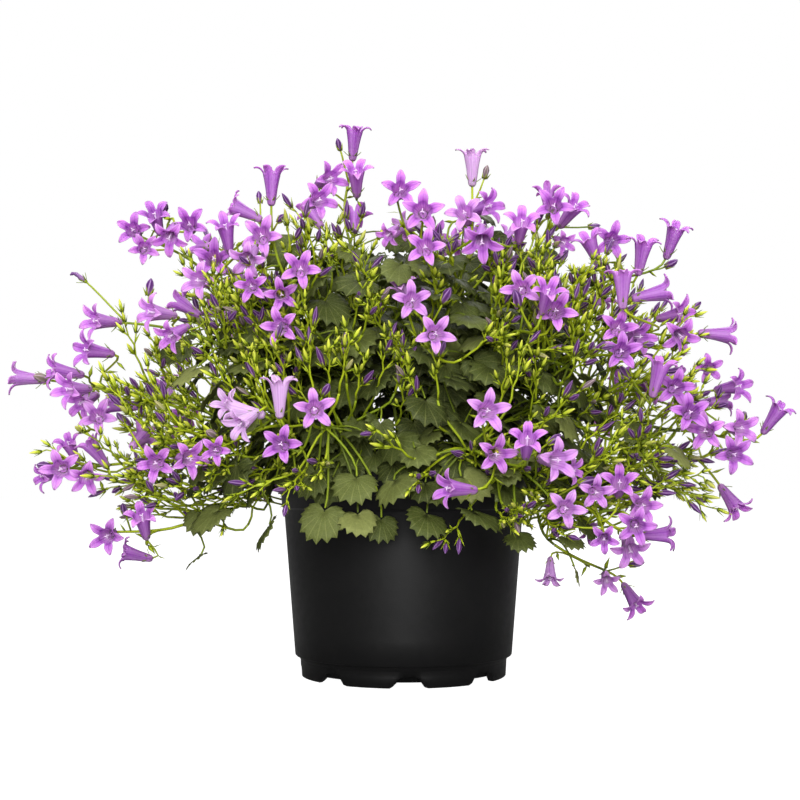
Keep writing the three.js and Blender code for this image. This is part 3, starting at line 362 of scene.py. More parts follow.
class Room:
    def __init__(self):
        self.count = 0
        self.points = np.zeros((ROOM_BALLS, 3))
        self.radii = np.zeros(ROOM_BALLS)
        self.pieces = np.zeros(ROOM_BALLS, int)

    def put(self, balls, piece):
        for point, radius, _ in balls:
            self.points[self.count] = point
            self.radii[self.count] = radius
            self.pieces[self.count] = piece
            self.count += 1

    def fits(self, balls, piece, parent):
        if balls is None:
            return False
        points = np.array([ball[0] for ball in balls])
        radii = np.array([ball[1] for ball in balls])
        young = np.array([ball[2] for ball in balls])
        out = np.hypot(points[:, 0], points[:, 1])
        over_soil = (out + radii < RIM_RADIUS - WALL - 3) & (points[:, 2] - radii > SOIL_TOP + SOIL_BUMP)
        low = (points[:, 2] - radii < POT_HEIGHT + 1) & (out - radii < RIM_RADIUS + 1)
        if (low & ~over_soil).any():
            return False
        low_corner = points.min(0) - NEAR
        high_corner = points.max(0) + NEAR
        held = self.points[: self.count]
        near = ((held > low_corner) & (held < high_corner)).all(1)
        near &= self.pieces[: self.count] != piece
        others = np.nonzero(near)[0]
        if not len(others):
            return True
        gap = points[:, None, :] - held[others][None, :, :]
        apart = np.sqrt((gap**2).sum(2))
        close = apart < radii[:, None] + self.radii[others][None, :] + CLEARANCE
        close &= ~(young[:, None] & (self.pieces[others] == parent)[None, :])
        return not close.any()

    # The first proposal that fits
    def settle(self, piece, parent, tries, propose):
        for k in range(tries):
            item = propose(k)
            if self.fits(item["balls"], piece, parent):
                self.put(item["balls"], piece)
                return item
        return None


def stem_balls(curve, radius, trim_end, leave, arrive):
    length = length_of(curve)
    points = samples(curve, steps_for(curve, length))
    spans = np.diff(points, axis=0)
    sizes = np.sqrt((spans**2).sum(1))
    ways = np.vstack([leave, spans / sizes[:, None], arrive])
    if ((ways[1:] * ways[:-1]).sum(1) < SHARPEST).any():
        return None
    balls = []
    gone = 0
    for start, span, size in zip(points, spans, sizes):
        count = math.ceil(size / BALL_STEP)
        for n in range(count):
            run = gone + size * n / count
            if run >= BALL_START and length - run >= trim_end:
                balls.append((start + span * (n / count), radius + 0.6, run < YOUNG))
        gone += size
    return balls


# Places down a bell's tube and out along its lobes: [distance from the mouth, radius], in mm
TUBE_PLACES = [(3, 5.2), (8, 4.2), (13, 3.2)]
LOBE_PLACES = [(3, 3.2), (6.5, 3.2), (9.4, 2)]


def bloom_balls(bloom):
    centre, axis, side, size = bloom["centre"], bloom["axis"], bloom["side"], bloom["size"]
    flare = math.radians(bloom["flare"])
    across = np.cross(axis, side)
    balls = [(centre - axis * depth * size, radius * size, False) for depth, radius in TUBE_PLACES]
    for k in range(LOBES):
        out = around(side, across, step_round(k, LOBES))
        for reach, radius in LOBE_PLACES:
            radial = (MOUTH_RADIUS + reach * math.sin(flare)) * size
            rise = (reach * math.cos(flare) - 1) * size
            balls.append((centre + out * radial + axis * rise, radius * size, False))
    return balls


# Places on a leaf: [share of its length forward, share sideways]
LEAF_PLACES = [(0.08, 0.26), (0.08, 0), (0.36, 0.29), (0.36, 0), (0.62, 0.2), (0.62, 0), (0.87, 0)]


def leaf_balls(leaf):
    balls = []
    for forward, sideways in LEAF_PLACES:
        for hand in (1, -1) if sideways else (1,):
            away = (forward - LEAF_MIDDLE) ** 2 + sideways**2
            point = leaf["base"] + leaf["axis"] * forward * leaf["length"]
            point = point + leaf["side"] * sideways * hand * leaf["length"]
            point = point - leaf["up"] * away * LEAF_DROOP * leaf["length"]
            balls.append((point, leaf["length"] * 0.15, False))
    return balls


# How high a point is in the dome, as a share of the way from its middle to its top or its edge
def dome_share(z):
    return (z - DOME_MIDDLE) / (DOME_RISE if z > DOME_MIDDLE else DOME_DROP)


# How far in front of the pot's axis the dome of flowers stands at a place of the front view
def dome_depth(x, z, share):
    left = 1 - (x / DOME_WIDTH) ** 2 - dome_share(z) ** 2
    return DOME_DEPTH * share * math.sqrt(max(0.02, left))


# A place of the front view, slid along its sight line until it stands forward of the axis
def placed(x, z, forward):
    return EYE + (np.array([x, 0.0, z]) - EYE) * (1 - forward / -EYE[1])


# How unevenly the blooms face, in degrees, how far their lobes open, and how far they slide
# along their sight lines at each try, in mm
SLIDE_STEP = 5
TURN_VARIES = 16
TIP_VARIES = 12
FLARE_LEAST = 76
FLARE_VARIES = 22


def place_blooms(room):
    sprays = {}
    numbers = iter(range(1, STALK_NUMBER))

    def place(name, x, z, turn, tip, size, back, half):
        piece = next(numbers)
        draw = draws(piece)
        dome = dome_depth(x, z, 1)
        depth = dome - back + (draw() - 0.5) * (DEPTH_SCATTER + 0.5 * (DOME_DEPTH - dome))
        turned = turn + (draw() - 0.5) * TURN_VARIES
        axis = facing(turned, tip + (draw() - 0.5) * TIP_VARIES)
        spin = draw_vector(draw, 1)
        flare = FLARE_LEAST + FLARE_VARIES * draw()
        turn_round = np.array([-1, -1, 1]) if half else np.ones(3)
        axis = axis * turn_round

        def propose(k):
            slid = SLIDE_STEP * math.ceil(k / 2) * (-1 if k % 2 else 1)
            centre = placed(x, z, depth + slid) * turn_round
            bloom = {"piece": piece, "centre": centre, "axis": axis, "size": size, "flare": flare}
            bloom["side"] = square_to(axis, spin)
            bloom["balls"] = bloom_balls(bloom)
            return bloom

        bloom = room.settle(piece, 0, BLOOM_TRIES, propose)
        if bloom:
            sprays[name]["blooms"].append(bloom)
            narrow = bloom["centre"] - axis * NARROW_DEPTH * size
            room.put([(narrow, NARROW_RADIUS, False)], STALK_NUMBER + piece)

    for name, blooms in FRONT_SPRAYS.items():
        sprays[name] = {"name": name, "blooms": []}
        for x, z, turn, tip, *rest in blooms:
            size, back = (rest + [1, 0][len(rest):])
            place(name, x, z, turn, tip, size, back, False)
    for name, (x, z, count) in BACK_SPRAYS.items():
        sprays[name] = {"name": name, "blooms": []}
        for k in range(count):
            angle = (k + 0.3) * 2 * math.pi / count + x
            bx = x + BACK_SPREAD * math.cos(angle)
            bz = z + BACK_SPREAD * math.sin(angle)
            lean = 40 * math.sin(angle) + (z - DOME_MIDDLE) * 0.12
            place(name, bx, bz, bx * 0.25 + 30 * math.cos(angle), lean, 1, (k % 2) * 40, True)
    return sprays


def foot_of(bloom):
    return bloom["centre"] - bloom["axis"] * TUBE_LENGTH * bloom["size"]


# Where along a spray's first stalk the others leave it
def stalk_place(k, count):
    return 0.1 + 0.7 * k / count


# A spray hangs together on one stalk, which its other stalks leave on the way
CROWN = np.array([0.0, 0.0, DOME_MIDDLE + 10])
ROOT_BACK = 32


def place_stalks(room, sprays):
    for index, spray in enumerate(sprays.values()):
        draw = draws(SPRAY_NUMBER + index)
        middle = sum(foot_of(bloom) for bloom in spray["blooms"]) / len(spray["blooms"])
        spray["out"] = unit(middle - CROWN)

        def propose_root(k):
            point = middle - spray["out"] * ROOT_BACK + draw_vector(draw, k * 0.8)
            return {"point": point, "balls": [(point, 3, False)]}

        spray["root"] = room.settle(ROOT_NUMBER + index, 0, ROOT_TRIES, propose_root)["point"]
        order = sorted(spray["blooms"], key=lambda bloom: -distance(foot_of(bloom), spray["root"]))
        slots = len(order) + SPRAY_BUDS
        spray["stalks"] = []
        for k, bloom in enumerate(order):
            first = not spray["stalks"]
            t = stalk_place(k, slots)
            foot = foot_of(bloom)
            if first:
                start, leave = spray["root"] + spray["out"] * NODE_GAP / 2, spray["out"]
                parent = ROOT_NUMBER + index
            else:
                main = spray["stalks"][0]
                start, leave = along(main["curve"], t), parting(main["curve"], t, foot)
                parent = STALK_NUMBER + main["bloom"]["piece"]
            reach = distance(start, foot)

            def propose(n):
                curve = [
                    start,
                    start + leave * reach * 0.35 + draw_vector(draw, 0 if first else n * 0.06),
                    foot - bloom["axis"] * min(reach * 0.4, 16) + draw_vector(draw, n * 0.06),
                    foot,
                ]
                return {"curve": curve, "balls": stem_balls(curve, STALK_RADIUS, 1, leave, bloom["axis"])}

            stalk = room.settle(STALK_NUMBER + bloom["piece"], parent, STALK_TRIES, propose)
            if stalk:
                spray["stalks"].append({**stalk, "bloom": bloom})
        spray["bud_places"] = [stalk_place(k, slots) for k in range(len(order), slots)]


# Shoots rise from their holes in the soil and arch out to the sprays. The holes of those to high
# sprays are near the pot's middle.
HIGH_SPRAY = 230
HIGH_HOLES = 18
LOW_HOLES = 44
HOLE_TRIES = 60
HOLES_FROM = 8
HOLES_TO = 58
HIGH_LIFT = 0.4
LOW_LIFT = 0.62
STEM_NUMBERS = 10


def place_shoots(room, sprays):
    holes = []
    shoots = []
    for index, (name, carried) in enumerate(SHOOTS.items()):
        draw = draws(SHOOT_NUMBER + index)
        ends = [sprays[key] for key in carried]
        aim = sum(spray["root"] for spray in ends) / len(ends)
        level = math.atan2(aim[1], aim[0])
        reach = HIGH_HOLES if aim[2] > HIGH_SPRAY else LOW_HOLES
        for k in range(HOLE_TRIES):
            angle = level + (draw() - 0.5) * 0.03 * k
            radius = min(HOLES_TO, max(HOLES_FROM, reach + (draw() - 0.5) * 1.2 * k))
            foot = round_pot(radius, angle, SOIL_TOP + 3)
            if not any(distance(hole, foot) < HOLE_SPACE for hole in holes):
                break
        holes.append(foot)
        shoot = {"name": name, "foot": foot, "stems": [], "leaves": []}
        for k, spray in enumerate(ends):
            end = spray["root"] - spray["out"] * NODE_GAP / 2
            start, leave = foot, np.array([0.0, 0.0, 1.0])
            if k:
                main = shoot["stems"][0]["curve"]
                start, leave = along(main, FORK_AT), parting(main, FORK_AT, end)
            span = distance(start, end)
            lift = LOW_LIFT if end[2] < POT_HEIGHT + 30 else HIGH_LIFT

            def propose(n):
                second = start + leave * span * lift + draw_vector(draw, n * 0.25)
                third = end - spray["out"] * span * (0.2 + 0.2 * draw())
                if k == 0:
                    second[:2] = foot[:2] + (second[:2] - foot[:2]) * 0.5
                curve = [start, second, third, end]
                return {"curve": curve, "balls": stem_balls(curve, SHOOT_RADIUS, 6, leave, spray["out"])}

            first = SHOOT_NUMBER + index * STEM_NUMBERS
            stem = room.settle(first + k, first, STEM_TRIES, propose)
            if stem:
                stem["piece"] = first + k
                stem["joints"] = [FORK_AT] if k == 0 and len(ends) > 1 else []
                shoot["stems"].append(stem)
        shoots.append(shoot)
    return shoots


# A closed bud on a thin stalk that leaves a stem at start
def bud_at(draw, start, out):
    axis = unit(out * 0.6 + draw_vector(draw, 1))
    axis[2] = abs(axis[2])
    size = 0.7 + 0.5 * draw()
    stand = 14 + 14 * draw()
    foot = start + axis * stand + draw_vector(draw, 3)
    curve = [start, start + axis * stand * 0.3, foot - axis * stand * 0.3, foot]
    balls = stem_balls(curve, STALK_RADIUS, 0, axis, axis)
    if balls is not None:
        for share in (0.2, 0.5, 0.85):
            balls.append((foot + axis * BUD_LENGTH * size * share, BUD_RADIUS * size + 0.4, False))
    return {"curve": curve, "axis": axis, "size": size, "balls": balls}


def place_buds(room, sprays):
    for index, spray in enumerate(sprays.values()):
        draw = draws(BUD_NUMBER + index)
        spray["buds"] = []
        parent = STALK_NUMBER + spray["stalks"][0]["bloom"]["piece"]
        for t in spray["bud_places"]:
            start = along(spray["stalks"][0]["curve"], t)

            def propose(k):
                return bud_at(draw, start, spray["out"])

            bud = room.settle(BUD_NUMBER + index, parent, BUD_TRIES, propose)
            if bud:
                spray["buds"].append(bud)


# A leaf on its stalk: it faces up and outwards, and its tip hangs
def leaf_at(start, base, out, hang, length, draw):
    up = unit(out * 0.7 + np.array([0, 0, 0.75]) + draw_vector(draw, 0.45))
    axis = square_to(up, out * 1.2 + np.array([0, 0, -hang]) + draw_vector(draw, 0.5))
    leaf = {"length": length, "base": base, "axis": axis, "side": np.cross(up, axis), "up": up}
    span = distance(start, base)
    leave = unit(unit(base - start) + np.array([0, 0, 0.4]))
    curve = [start, start + leave * span * 0.4, base - axis * span * 0.3, base]
    balls = stem_balls(curve, STALK_RADIUS, 4, leave, axis)
    if balls is not None:
        balls += leaf_balls(leaf)
    return {"leaf": leaf, "curve": curve, "balls": balls}


def free_joint(stem, t):
    space = JOINT_SPACE / length_of(stem["curve"])
    return all(abs(joint - t) > space for joint in stem["joints"])


# A leaf on a shoot's stem, reaching out from a random place on it
def shoot_leaf(draw, stem, lengths):
    t = 0.3 + 0.6 * draw()
    start = along(stem["curve"], t)
    turn = 2 * math.pi * draw()
    away = unit(np.array([start[0], start[1], 0]))
    out = unit(np.array([math.cos(turn), math.sin(turn), 0]) + away * 0.8)
    base = start + out * (12 + 10 * draw())
    base = base + np.array([0, 0, 4 + 8 * draw()])
    hang = 0.3 + 0.6 * draw()
    found = leaf_at(start, base, out, hang, lengths[0] + lengths[1] * draw(), draw)
    found["t"] = t
    return found


def place_leaves(room, shoots):
    spots = []
    for shoot in shoots:
        for stem in shoot["stems"]:
            for k in range(5, 20):
                spots.append((shoot, stem, k / 20, along(stem["curve"], k / 20)))
    for index, (x, z, length) in enumerate(FRONT_LEAVES):
        draw = draws(LEAF_NUMBER + index)
        target = placed(x, z, dome_depth(x, z, LEAF_DOME))
        for shoot, stem, t, point in sorted(spots, key=lambda spot: distance(spot[3], target))[:12]:
            if not free_joint(stem, t):
                continue

            def propose(n):
                centre = placed(x, z, dome_depth(x, z, LEAF_DOME) + (draw() - 0.5) * (8 + 3 * n))
                out = unit(np.array([centre[0], centre[1], 0]))
                base = centre - out * 0.25 * length + np.array([0, 0, 0.22 * length])
                return leaf_at(point, base, out, 0.9, length, draw)

            found = room.settle(LEAF_NUMBER + index, stem["piece"], LEAF_TRIES, propose)
            if found:
                stem["joints"].append(t)
                shoot["leaves"].append(found)
                break
    for index, shoot in enumerate(shoots):
        for k in range(SHOOT_LEAVES):
            piece = SHOOT_LEAF_NUMBER + index * 20 + k
            draw = draws(piece)
            stem = shoot["stems"][k % len(shoot["stems"])]

            def propose_leaf(n):
                found = shoot_leaf(draw, stem, (17, 9))
                return found if free_joint(stem, found["t"]) else {**found, "balls": None}

            found = room.settle(piece, stem["piece"], SHOOT_LEAF_TRIES, propose_leaf)
            if found:
                stem["joints"].append(found["t"])
                shoot["leaves"].append(found)


# The plan of the plant: where every stem, bloom, bud and leaf of the part is
room = Room()
sprays = place_blooms(room)
place_stalks(room, sprays)
shoots = place_shoots(room, sprays)
place_buds(room, sprays)
place_leaves(room, shoots)


# A mesh in the making: points in mm, faces, and a colour attribute that the materials read.
# Its channels are how far along a piece a point is, how far across, the piece's tone,
# and whether the point is on the outside of a petal. On leaves the tone is partly painted shade: those
# deeper in the plant are darker.
class Build:
    def __init__(self):
        self.points = []
        self.faces = []
        self.slots = []
        self.marks = []
        self.count = 0

    def add(self, points, faces, slot, marks):
        points = np.asarray(points, float)
        self.points.append(points)
        self.marks.append(np.broadcast_to(marks, (len(points), 4)))
        for face in faces:
            self.faces.append([k + self.count for k in face])
        self.slots += [slot] * len(faces)
        self.count += len(points)

    # Another mesh set into this one, turned to a frame of axes at a place
    def copy(self, other, place, axes, scale):
        for points, marks in zip(other.points, other.marks):
            self.points.append(carried(points, place, axes, scale))
            self.marks.append(marks)
        for face in other.faces:
            self.faces.append([k + self.count for k in face])
        self.slots += other.slots
        self.count += other.count

    def object(self, name, materials):
        mesh = bpy.data.meshes.new(name)
        mesh.from_pydata(np.vstack(self.points) * MM, [], self.faces)
        used = sorted(set(self.slots))
        for slot in used:
            mesh.materials.append(materials[slot])
        places = {slot: k for k, slot in enumerate(used)}
        mesh.polygons.foreach_set("material_index", [places[slot] for slot in self.slots])
        mesh.polygons.foreach_set("use_smooth", [True] * len(self.faces))
        mark = mesh.attributes.new("mark", "FLOAT_COLOR", "POINT")
        mark.data.foreach_set("color", np.vstack(self.marks).astype(np.float32).ravel())
        mesh.update()
        piece = bpy.data.objects.new(name, mesh)
        bpy.context.scene.collection.objects.link(piece)
        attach(piece, "root")
        return piece


def grid_faces(rows, columns, closed):
    faces = []
    for j in range(rows - 1):
        for k in range(columns if closed else columns - 1):
            n = (k + 1) % columns
            faces.append((j * columns + k, j * columns + n, (j + 1) * columns + n, (j + 1) * columns + k))
    return faces


# The faces of a closed rod: its round wall and its two ends
def rod_faces(rows, columns):
    faces = grid_faces(rows, columns, True)
    faces.append(tuple(reversed(range(columns))))
    faces.append(tuple(range((rows - 1) * columns, rows * columns)))
    return faces


def turned_over(faces):
    return [tuple(reversed(face)) for face in faces]


# A sheet given a thickness: its back is set behind it, and the two are joined round the rim
def thicken(points, faces, thickness):
    normals = np.zeros_like(points)
    edges = {}
    for face in faces:
        a, b, c = points[face[0]], points[face[1]], points[face[2]]
        normal = np.cross(b - a, c - a)
        for n, k in enumerate(face):
            normals[k] += normal
            edge = (k, face[(n + 1) % len(face)])
            edges[edge] = edges.get(edge[::-1], 0) + 1
    normals /= np.maximum(np.linalg.norm(normals, axis=1), 1e-9)[:, None]
    count = len(points)
    back = [tuple(k + count for k in reversed(face)) for face in faces]
    rim = [(b, a, a + count, b + count) for a, b in edges if (b, a) not in edges]
    return np.vstack([points, points - normals * thickness]), list(faces) + back + rim


# Points of a template carried into a frame of three axes at a place
def carried(points, place, axes, scale):
    return place + (np.asarray(points) * scale) @ np.array(axes)


# A bell's grid has so many steps in a fifth of its round, and so many rows along a lobe.
# Its lobes start at an angle to its axis, in degrees, and bend out on their way.
BELL_STEPS = 6
LOBE_ROWS = 7
PETAL_THICKNESS = 0.35
LOBE_START = 20
FLARE_EASE = 6
LOBE_BEND = 0.85
LOBE_UNEVEN = 44
LOBE_TWIST = 0.9
LOBE_FOLD = 1.1
LOBE_LEAST = 0.84
LOBE_VARIES = 0.12
TUBE_RIB = 0.06
MOUTH_BACK = 1
# How far along a petal's colours its mouth is
MOUTH_MARK = 0.45

# The bell's wall: [share of the tube's length from its foot, radius in mm]
BELL_WALL = [(0, 1.2), (0.07, 2.2), (0.3, 2.9), (0.6, 3.6), (0.85, 4.4), (1, 5.0)]

# The pale disc that closes the tube above its foot: its height and radius in mm
BELL_FLOOR = 3.1
FLOOR_RADIUS = 2.3

# A lobe's width in mm at shares of its length
LOBE_WIDTHS = [(0, 6.2), (0.14, 5.2), (0.42, 5.7), (0.62, 4.8), (0.8, 3.0), (0.92, 1.3), (1, 0.1)]


# One open bell in its own frame, facing along Z with its mouth at the origin
def bell_shape(flare, curl, tone, draw):
    columns = LOBES * BELL_STEPS
    points = []
    marks = []
    for share, radius in BELL_WALL:
        for k in range(columns):
            angle = step_round(k, columns)
            rib = radius * (1 + TUBE_RIB * math.cos(LOBES * angle) * share)
            rise = (share - 1) * TUBE_LENGTH - MOUTH_BACK
            points.append([rib * math.cos(angle), rib * math.sin(angle), rise])
            across = abs((k / BELL_STEPS + 0.5) % 1 - 0.5) * 2
            marks.append([MOUTH_MARK * share, across, tone, 0])
    faces = grid_faces(len(BELL_WALL), columns, True)
    rim = (len(BELL_WALL) - 1) * columns
    half = BELL_STEPS // 2
    shares, widths = zip(*LOBE_WIDTHS)
    bend = 2 * (flare - FLARE_EASE - LOBE_START)
    for lobe in range(LOBES):
        middle = step_round(lobe, LOBES)
        twist = (draw() - 0.5) * LOBE_TWIST
        bent = bend + (draw() - 0.5) * LOBE_UNEVEN
        length = LOBE_LENGTH * (LOBE_LEAST + LOBE_VARIES * draw())
        radial = BELL_WALL[-1][1]
        rise = -MOUTH_BACK
        before = [rim + (lobe * BELL_STEPS + c) % columns for c in range(-half, half + 1)]
        for j in range(1, LOBE_ROWS + 1):
            s = j / LOBE_ROWS
            lean = math.radians(LOBE_START + bent * LOBE_BEND * s**curl)
            radial += math.sin(lean) * length / LOBE_ROWS
            rise += math.cos(lean) * length / LOBE_ROWS
            wide = float(np.interp(s, shares, widths)) / 2
            row = []
            for c in range(-half, half + 1):
                across = c / half
                fold = LOBE_FOLD * abs(across) ** 1.2 * (1 - 0.4 * s)
                raised = fold + twist * across * s * wide * 0.5
                out = radial - raised * math.cos(lean)
                high = rise + raised * math.sin(lean)
                side = across * wide
                x = out * math.cos(middle) - side * math.sin(middle)
                y = out * math.sin(middle) + side * math.cos(middle)
                points.append([x, y, high])
                marks.append([MOUTH_MARK + (1 - MOUTH_MARK) * s, abs(across), tone, 0])
                row.append(len(points) - 1)
            for k in range(2 * half):
                faces.append((before[k], before[k + 1], row[k + 1], row[k]))
            before = row
    # The sheet's front is the face that looks into the bell
    points, faces = thicken(np.array(points), turned_over(faces), PETAL_THICKNESS)
    marks = np.array(marks + marks)
    marks[len(marks) // 2 :, 3] = 1
    return points, faces, marks


# A closed round rod along a row of points
def tube(build, points, radii, sides, slot, tone):
    points = np.asarray(points, float)
    count = len(points)
    ways = np.gradient(points, axis=0)
    ways /= np.linalg.norm(ways, axis=1)[:, None]
    side = square_to(ways[0], np.array([0.3, 0.2, 1.0]))
    rings = []
    marks = []
    for k in range(count):
        side = square_to(ways[k], side)
        across = np.cross(ways[k], side)
        for n in range(sides):
            rings.append(points[k] + around(side, across, step_round(n, sides)) * radii[k])
            marks.append([k / (count - 1), n / sides, tone, 0])
    build.add(rings, rod_faces(count, sides), slot, marks)


# A stem's round rod along its curve
STEM_STEP = 8
STEM_SIDES = 6


def stem_tube(build, curve, start_radius, end_radius, slot, tone):
    length = length_of(curve)
    steps = max(3, math.ceil(length / STEM_STEP))
    points = samples(curve, steps)
    shares = np.arange(steps + 1) / steps
    radii = start_radius + (end_radius - start_radius) * shares
    tube(build, points, radii, STEM_SIDES, slot, tone)


# A thin pointed blade, such as a sepal or a bract, folded along its middle
BLADE_WIDTHS = [(0, 0.5), (0.3, 1.0), (0.65, 0.7), (1, 0.06)]
BLADE_FOLD = 0.16
BLADE_THICKNESS = 0.25


def blade(build, base, axis, up, length, width, bend, tone):
    side = np.cross(up, axis)
    points = []
    marks = []
    for s, wide in BLADE_WIDTHS:
        for c in (-1, 0, 1):
            rise = up * (BLADE_FOLD * width * abs(c) - bend * length * s * s)
            points.append(base + axis * length * s + side * (c * wide * width / 2) + rise)
            marks.append([s, abs(c), tone, 0])
    faces = grid_faces(len(BLADE_WIDTHS), 3, False)
    points, faces = thicken(np.array(points), faces, BLADE_THICKNESS)
    build.add(points, faces, "calyx", marks + marks)


# A small bract: a thin pointed leaf with a ridge down its middle
def bract(build, base, axis, up, length, width, tone):
    side = np.cross(axis, up)
    middle = base + axis * length * 0.4
    tip = base + (axis - up * 0.15) * length
    points = [base, middle + side * width / 2, tip, middle - side * width / 2]
    points += [middle + up * 0.3, middle - up * 0.15]
    faces = [(4, k, (k + 1) % 4) for k in range(4)] + [(5, (k + 1) % 4, k) for k in range(4)]
    places = [(0, 0.5), (0.4, 1), (1, 0.5), (0.4, 1), (0.4, 0), (0.4, 0)]
    build.add(points, faces, "calyx", [[s, across, tone, 0] for s, across in places])


# The calyx at a bell's foot: a small cup and five narrow pointed sepals.
# The cup is [height from the foot, radius] in mm.
CALYX_CUP = [(-1.4, 0.7), (-0.3, 1.5), (0.9, 1.8), (1.7, 1.6)]
CUP_SIDES = 8
SEPAL_LENGTH = 5
SEPAL_VARIES = 1.8
SEPAL_WIDTH = 1.3


def calyx(build, foot, axis, size, spread, draw, tone):
    side = square_to(axis, draw_vector(draw, 1))
    across = np.cross(axis, side)
    heights, radii = zip(*CALYX_CUP)
    cup = [foot + axis * (height * size) for height in heights]
    tube(build, cup, np.array(radii) * size, CUP_SIDES, "calyx", tone)
    for k in range(LOBES):
        angle = step_round(k + 0.5, LOBES) + (draw() - 0.5) * 0.3
        out = around(side, across, angle)
        lean = spread + (draw() - 0.5) * 0.5
        way = unit(axis * math.cos(lean) + out * math.sin(lean))
        base = foot + out * 1.3 * size + axis * 0.9 * size
        length = (SEPAL_LENGTH + SEPAL_VARIES * draw()) * size
        blade(build, base, way, square_to(way, out), length, SEPAL_WIDTH * size, 0.1, tone)


# The style that stands in a bell's mouth, with its three curled arms
STYLE_FOOT = 4
STYLE_RADII = np.array([0.45, 0.4, 0.6])
ARM_RADII = np.array([0.5, 0.42, 0.25])
STYLE_SIDES = 5
STYLE_ARMS = 3


def pistil(build, centre, axis, side, size):
    across = np.cross(axis, side)
    root = centre - axis * (TUBE_LENGTH - STYLE_FOOT) * size
    tip = centre - axis * 0.5 * size
    tube(build, [root, (root + tip) / 2, tip], STYLE_RADII * size, STYLE_SIDES, "style", 0.5)
    for k in range(STYLE_ARMS):
        out = around(side, across, step_round(k, STYLE_ARMS))
        arm = [tip, tip + (axis + out * 0.6) * size, tip + (axis * 1.2 + out * 1.5) * size]
        tube(build, arm, ARM_RADII * size, STYLE_SIDES, "style", 0.5)


# Where a point is seen from the front, as x and z in the plane of the pot's axis
def seen_at(point):
    seen = EYE + (point - EYE) * (EYE[1] / (EYE[1] - point[1]))
    return seen[0], seen[2]


# Bells that are nearly white lilac, as [x, z] seen from the front
PALE_BELLS = [(49, 352), (-85, 196), (-114, 178)]
PALE_REACH = 14
PALE_DEPTH = 40
DEEPEST_TONE = 0.85

# How late a lobe curls out, and how much later in a bell that faces straight up
CURL = 1.1
UPRIGHT_CURL = 0.7


def add_bell(build, bloom, draw):
    axis, side, size = bloom["axis"], bloom["side"], bloom["size"]
    x, z = seen_at(bloom["centre"])
    near = any(math.hypot(x - px, z - pz) < PALE_REACH for px, pz in PALE_BELLS)
    tone = 1.0 if near and bloom["centre"][1] < PALE_DEPTH else DEEPEST_TONE * draw()
    curl = CURL + UPRIGHT_CURL * max(0, axis[2])
    points, faces, marks = bell_shape(bloom["flare"], curl, tone, draw)
    build.add(carried(points, bloom["centre"], axes_of(side, axis), size), faces, "petal", marks)
    floor = foot_of(bloom) + axis * BELL_FLOOR * size
    tube(build, [floor - axis * 0.5 * size, floor], [FLOOR_RADIUS * size] * 2, 8, "petal", tone)
    pistil(build, bloom["centre"], axis, side, size)
    calyx(build, foot_of(bloom) + axis * 0.6 * size, axis, size, 0.85, draw, 0.45 * draw())


# A closed bud: a slim spindle pleated towards its tip, with its sepals held along it.
# The wall is [share of its length, share of its width].
BUD_WALL = [(0, 0.5), (0.12, 0.8), (0.35, 0.92), (0.6, 1.0), (0.8, 0.72), (0.94, 0.3), (1, 0.05)]
YOUNG_WALL = [(0, 0.5), (0.25, 0.85), (0.55, 1.0), (0.85, 0.5), (1, 0.06)]


def add_bud(build, foot, axis, length, width, ripe, draw, wall=BUD_WALL, pleats=20, sepals=0.45):
    side = square_to(axis, draw_vector(draw, 1))
    across = np.cross(axis, side)
    points = []
    marks = []
    for share, wide in wall:
        for k in range(pleats):
            angle = step_round(k, pleats)
            rib = 1 + 0.16 * math.cos(LOBES * angle) * min(1, share * 1.6)
            out = around(side, across, angle + share * 0.6)
            points.append(foot + axis * share * length + out * (wide * rib * width / 2))
            marks.append([share, 0.5 + 0.5 * math.cos(LOBES * angle), ripe, 0])
    build.add(points, rod_faces(len(wall), pleats), "bud", marks)
    for k in range(LOBES):
        out = around(side, across, step_round(k, LOBES))
        base = foot + out * width * 0.32
        tip = base + (axis + out * (0.25 + 0.35 * draw())) * length * sepals
        tube(build, [base, tip], [width * 0.22, 0.08], 3, "calyx", ripe)


# A leaf's outline from where its stalk joins it: [degrees off its axis, share of its length].
# The other sizes of a leaf are shares of its length too.
LEAF_OUTLINE = [(0, 0.88), (22, 0.86), (45, 0.76), (70, 0.61), (100, 0.52), (124, 0.4), (138, 0.24)]
LEAF_SPAN = 138
LEAF_JOIN = 0.08
LEAF_THICKNESS = 0.014
TOOTH_DEPTH = 0.14


# A broad fan-shaped leaf with coarse pointed teeth, and a vein that runs out to each of them
def leaf_shape(seed, teeth, steps, rings):
    draw = draws(seed)
    turns, reaches = zip(*LEAF_OUTLINE)
    columns = teeth * steps + 1
    waves = [draw() * 6 for _ in range(2)]
    depths = [TOOTH_DEPTH * (0.7 + 0.6 * draw()) for _ in range(teeth + 1)]
    points = []
    marks = []
    for ring in rings:
        for k in range(columns):
            turn = LEAF_SPAN * (2 * k / (columns - 1) - 1)
            phase = (k / steps) % 1
            valley = abs(phase - 0.5) * 2
            reach = float(np.interp(abs(turn), turns, reaches))
            reach *= ring * (1 - depths[k // steps] * valley * max(0, ring - 0.6) / 0.4)
            angle = math.radians(turn)
            x = reach * math.sin(angle)
            y = reach * math.cos(angle) + LEAF_JOIN
            pleat = 0.022 * valley * ring
            wave = 0.045 * math.sin(2 * angle + waves[0]) * ring
            wave += 0.03 * math.sin(5 * angle + waves[1]) * ring**2
            away = (y - LEAF_MIDDLE) ** 2 + x**2
            points.append([x, y, pleat + wave - away * LEAF_DROOP * 1.6])
            marks.append([ring, valley, 0, 0])
    faces = turned_over(grid_faces(len(rings), columns, False))
    points, faces = thicken(np.array(points), faces, LEAF_THICKNESS)
    return points, faces, np.array(marks + marks)


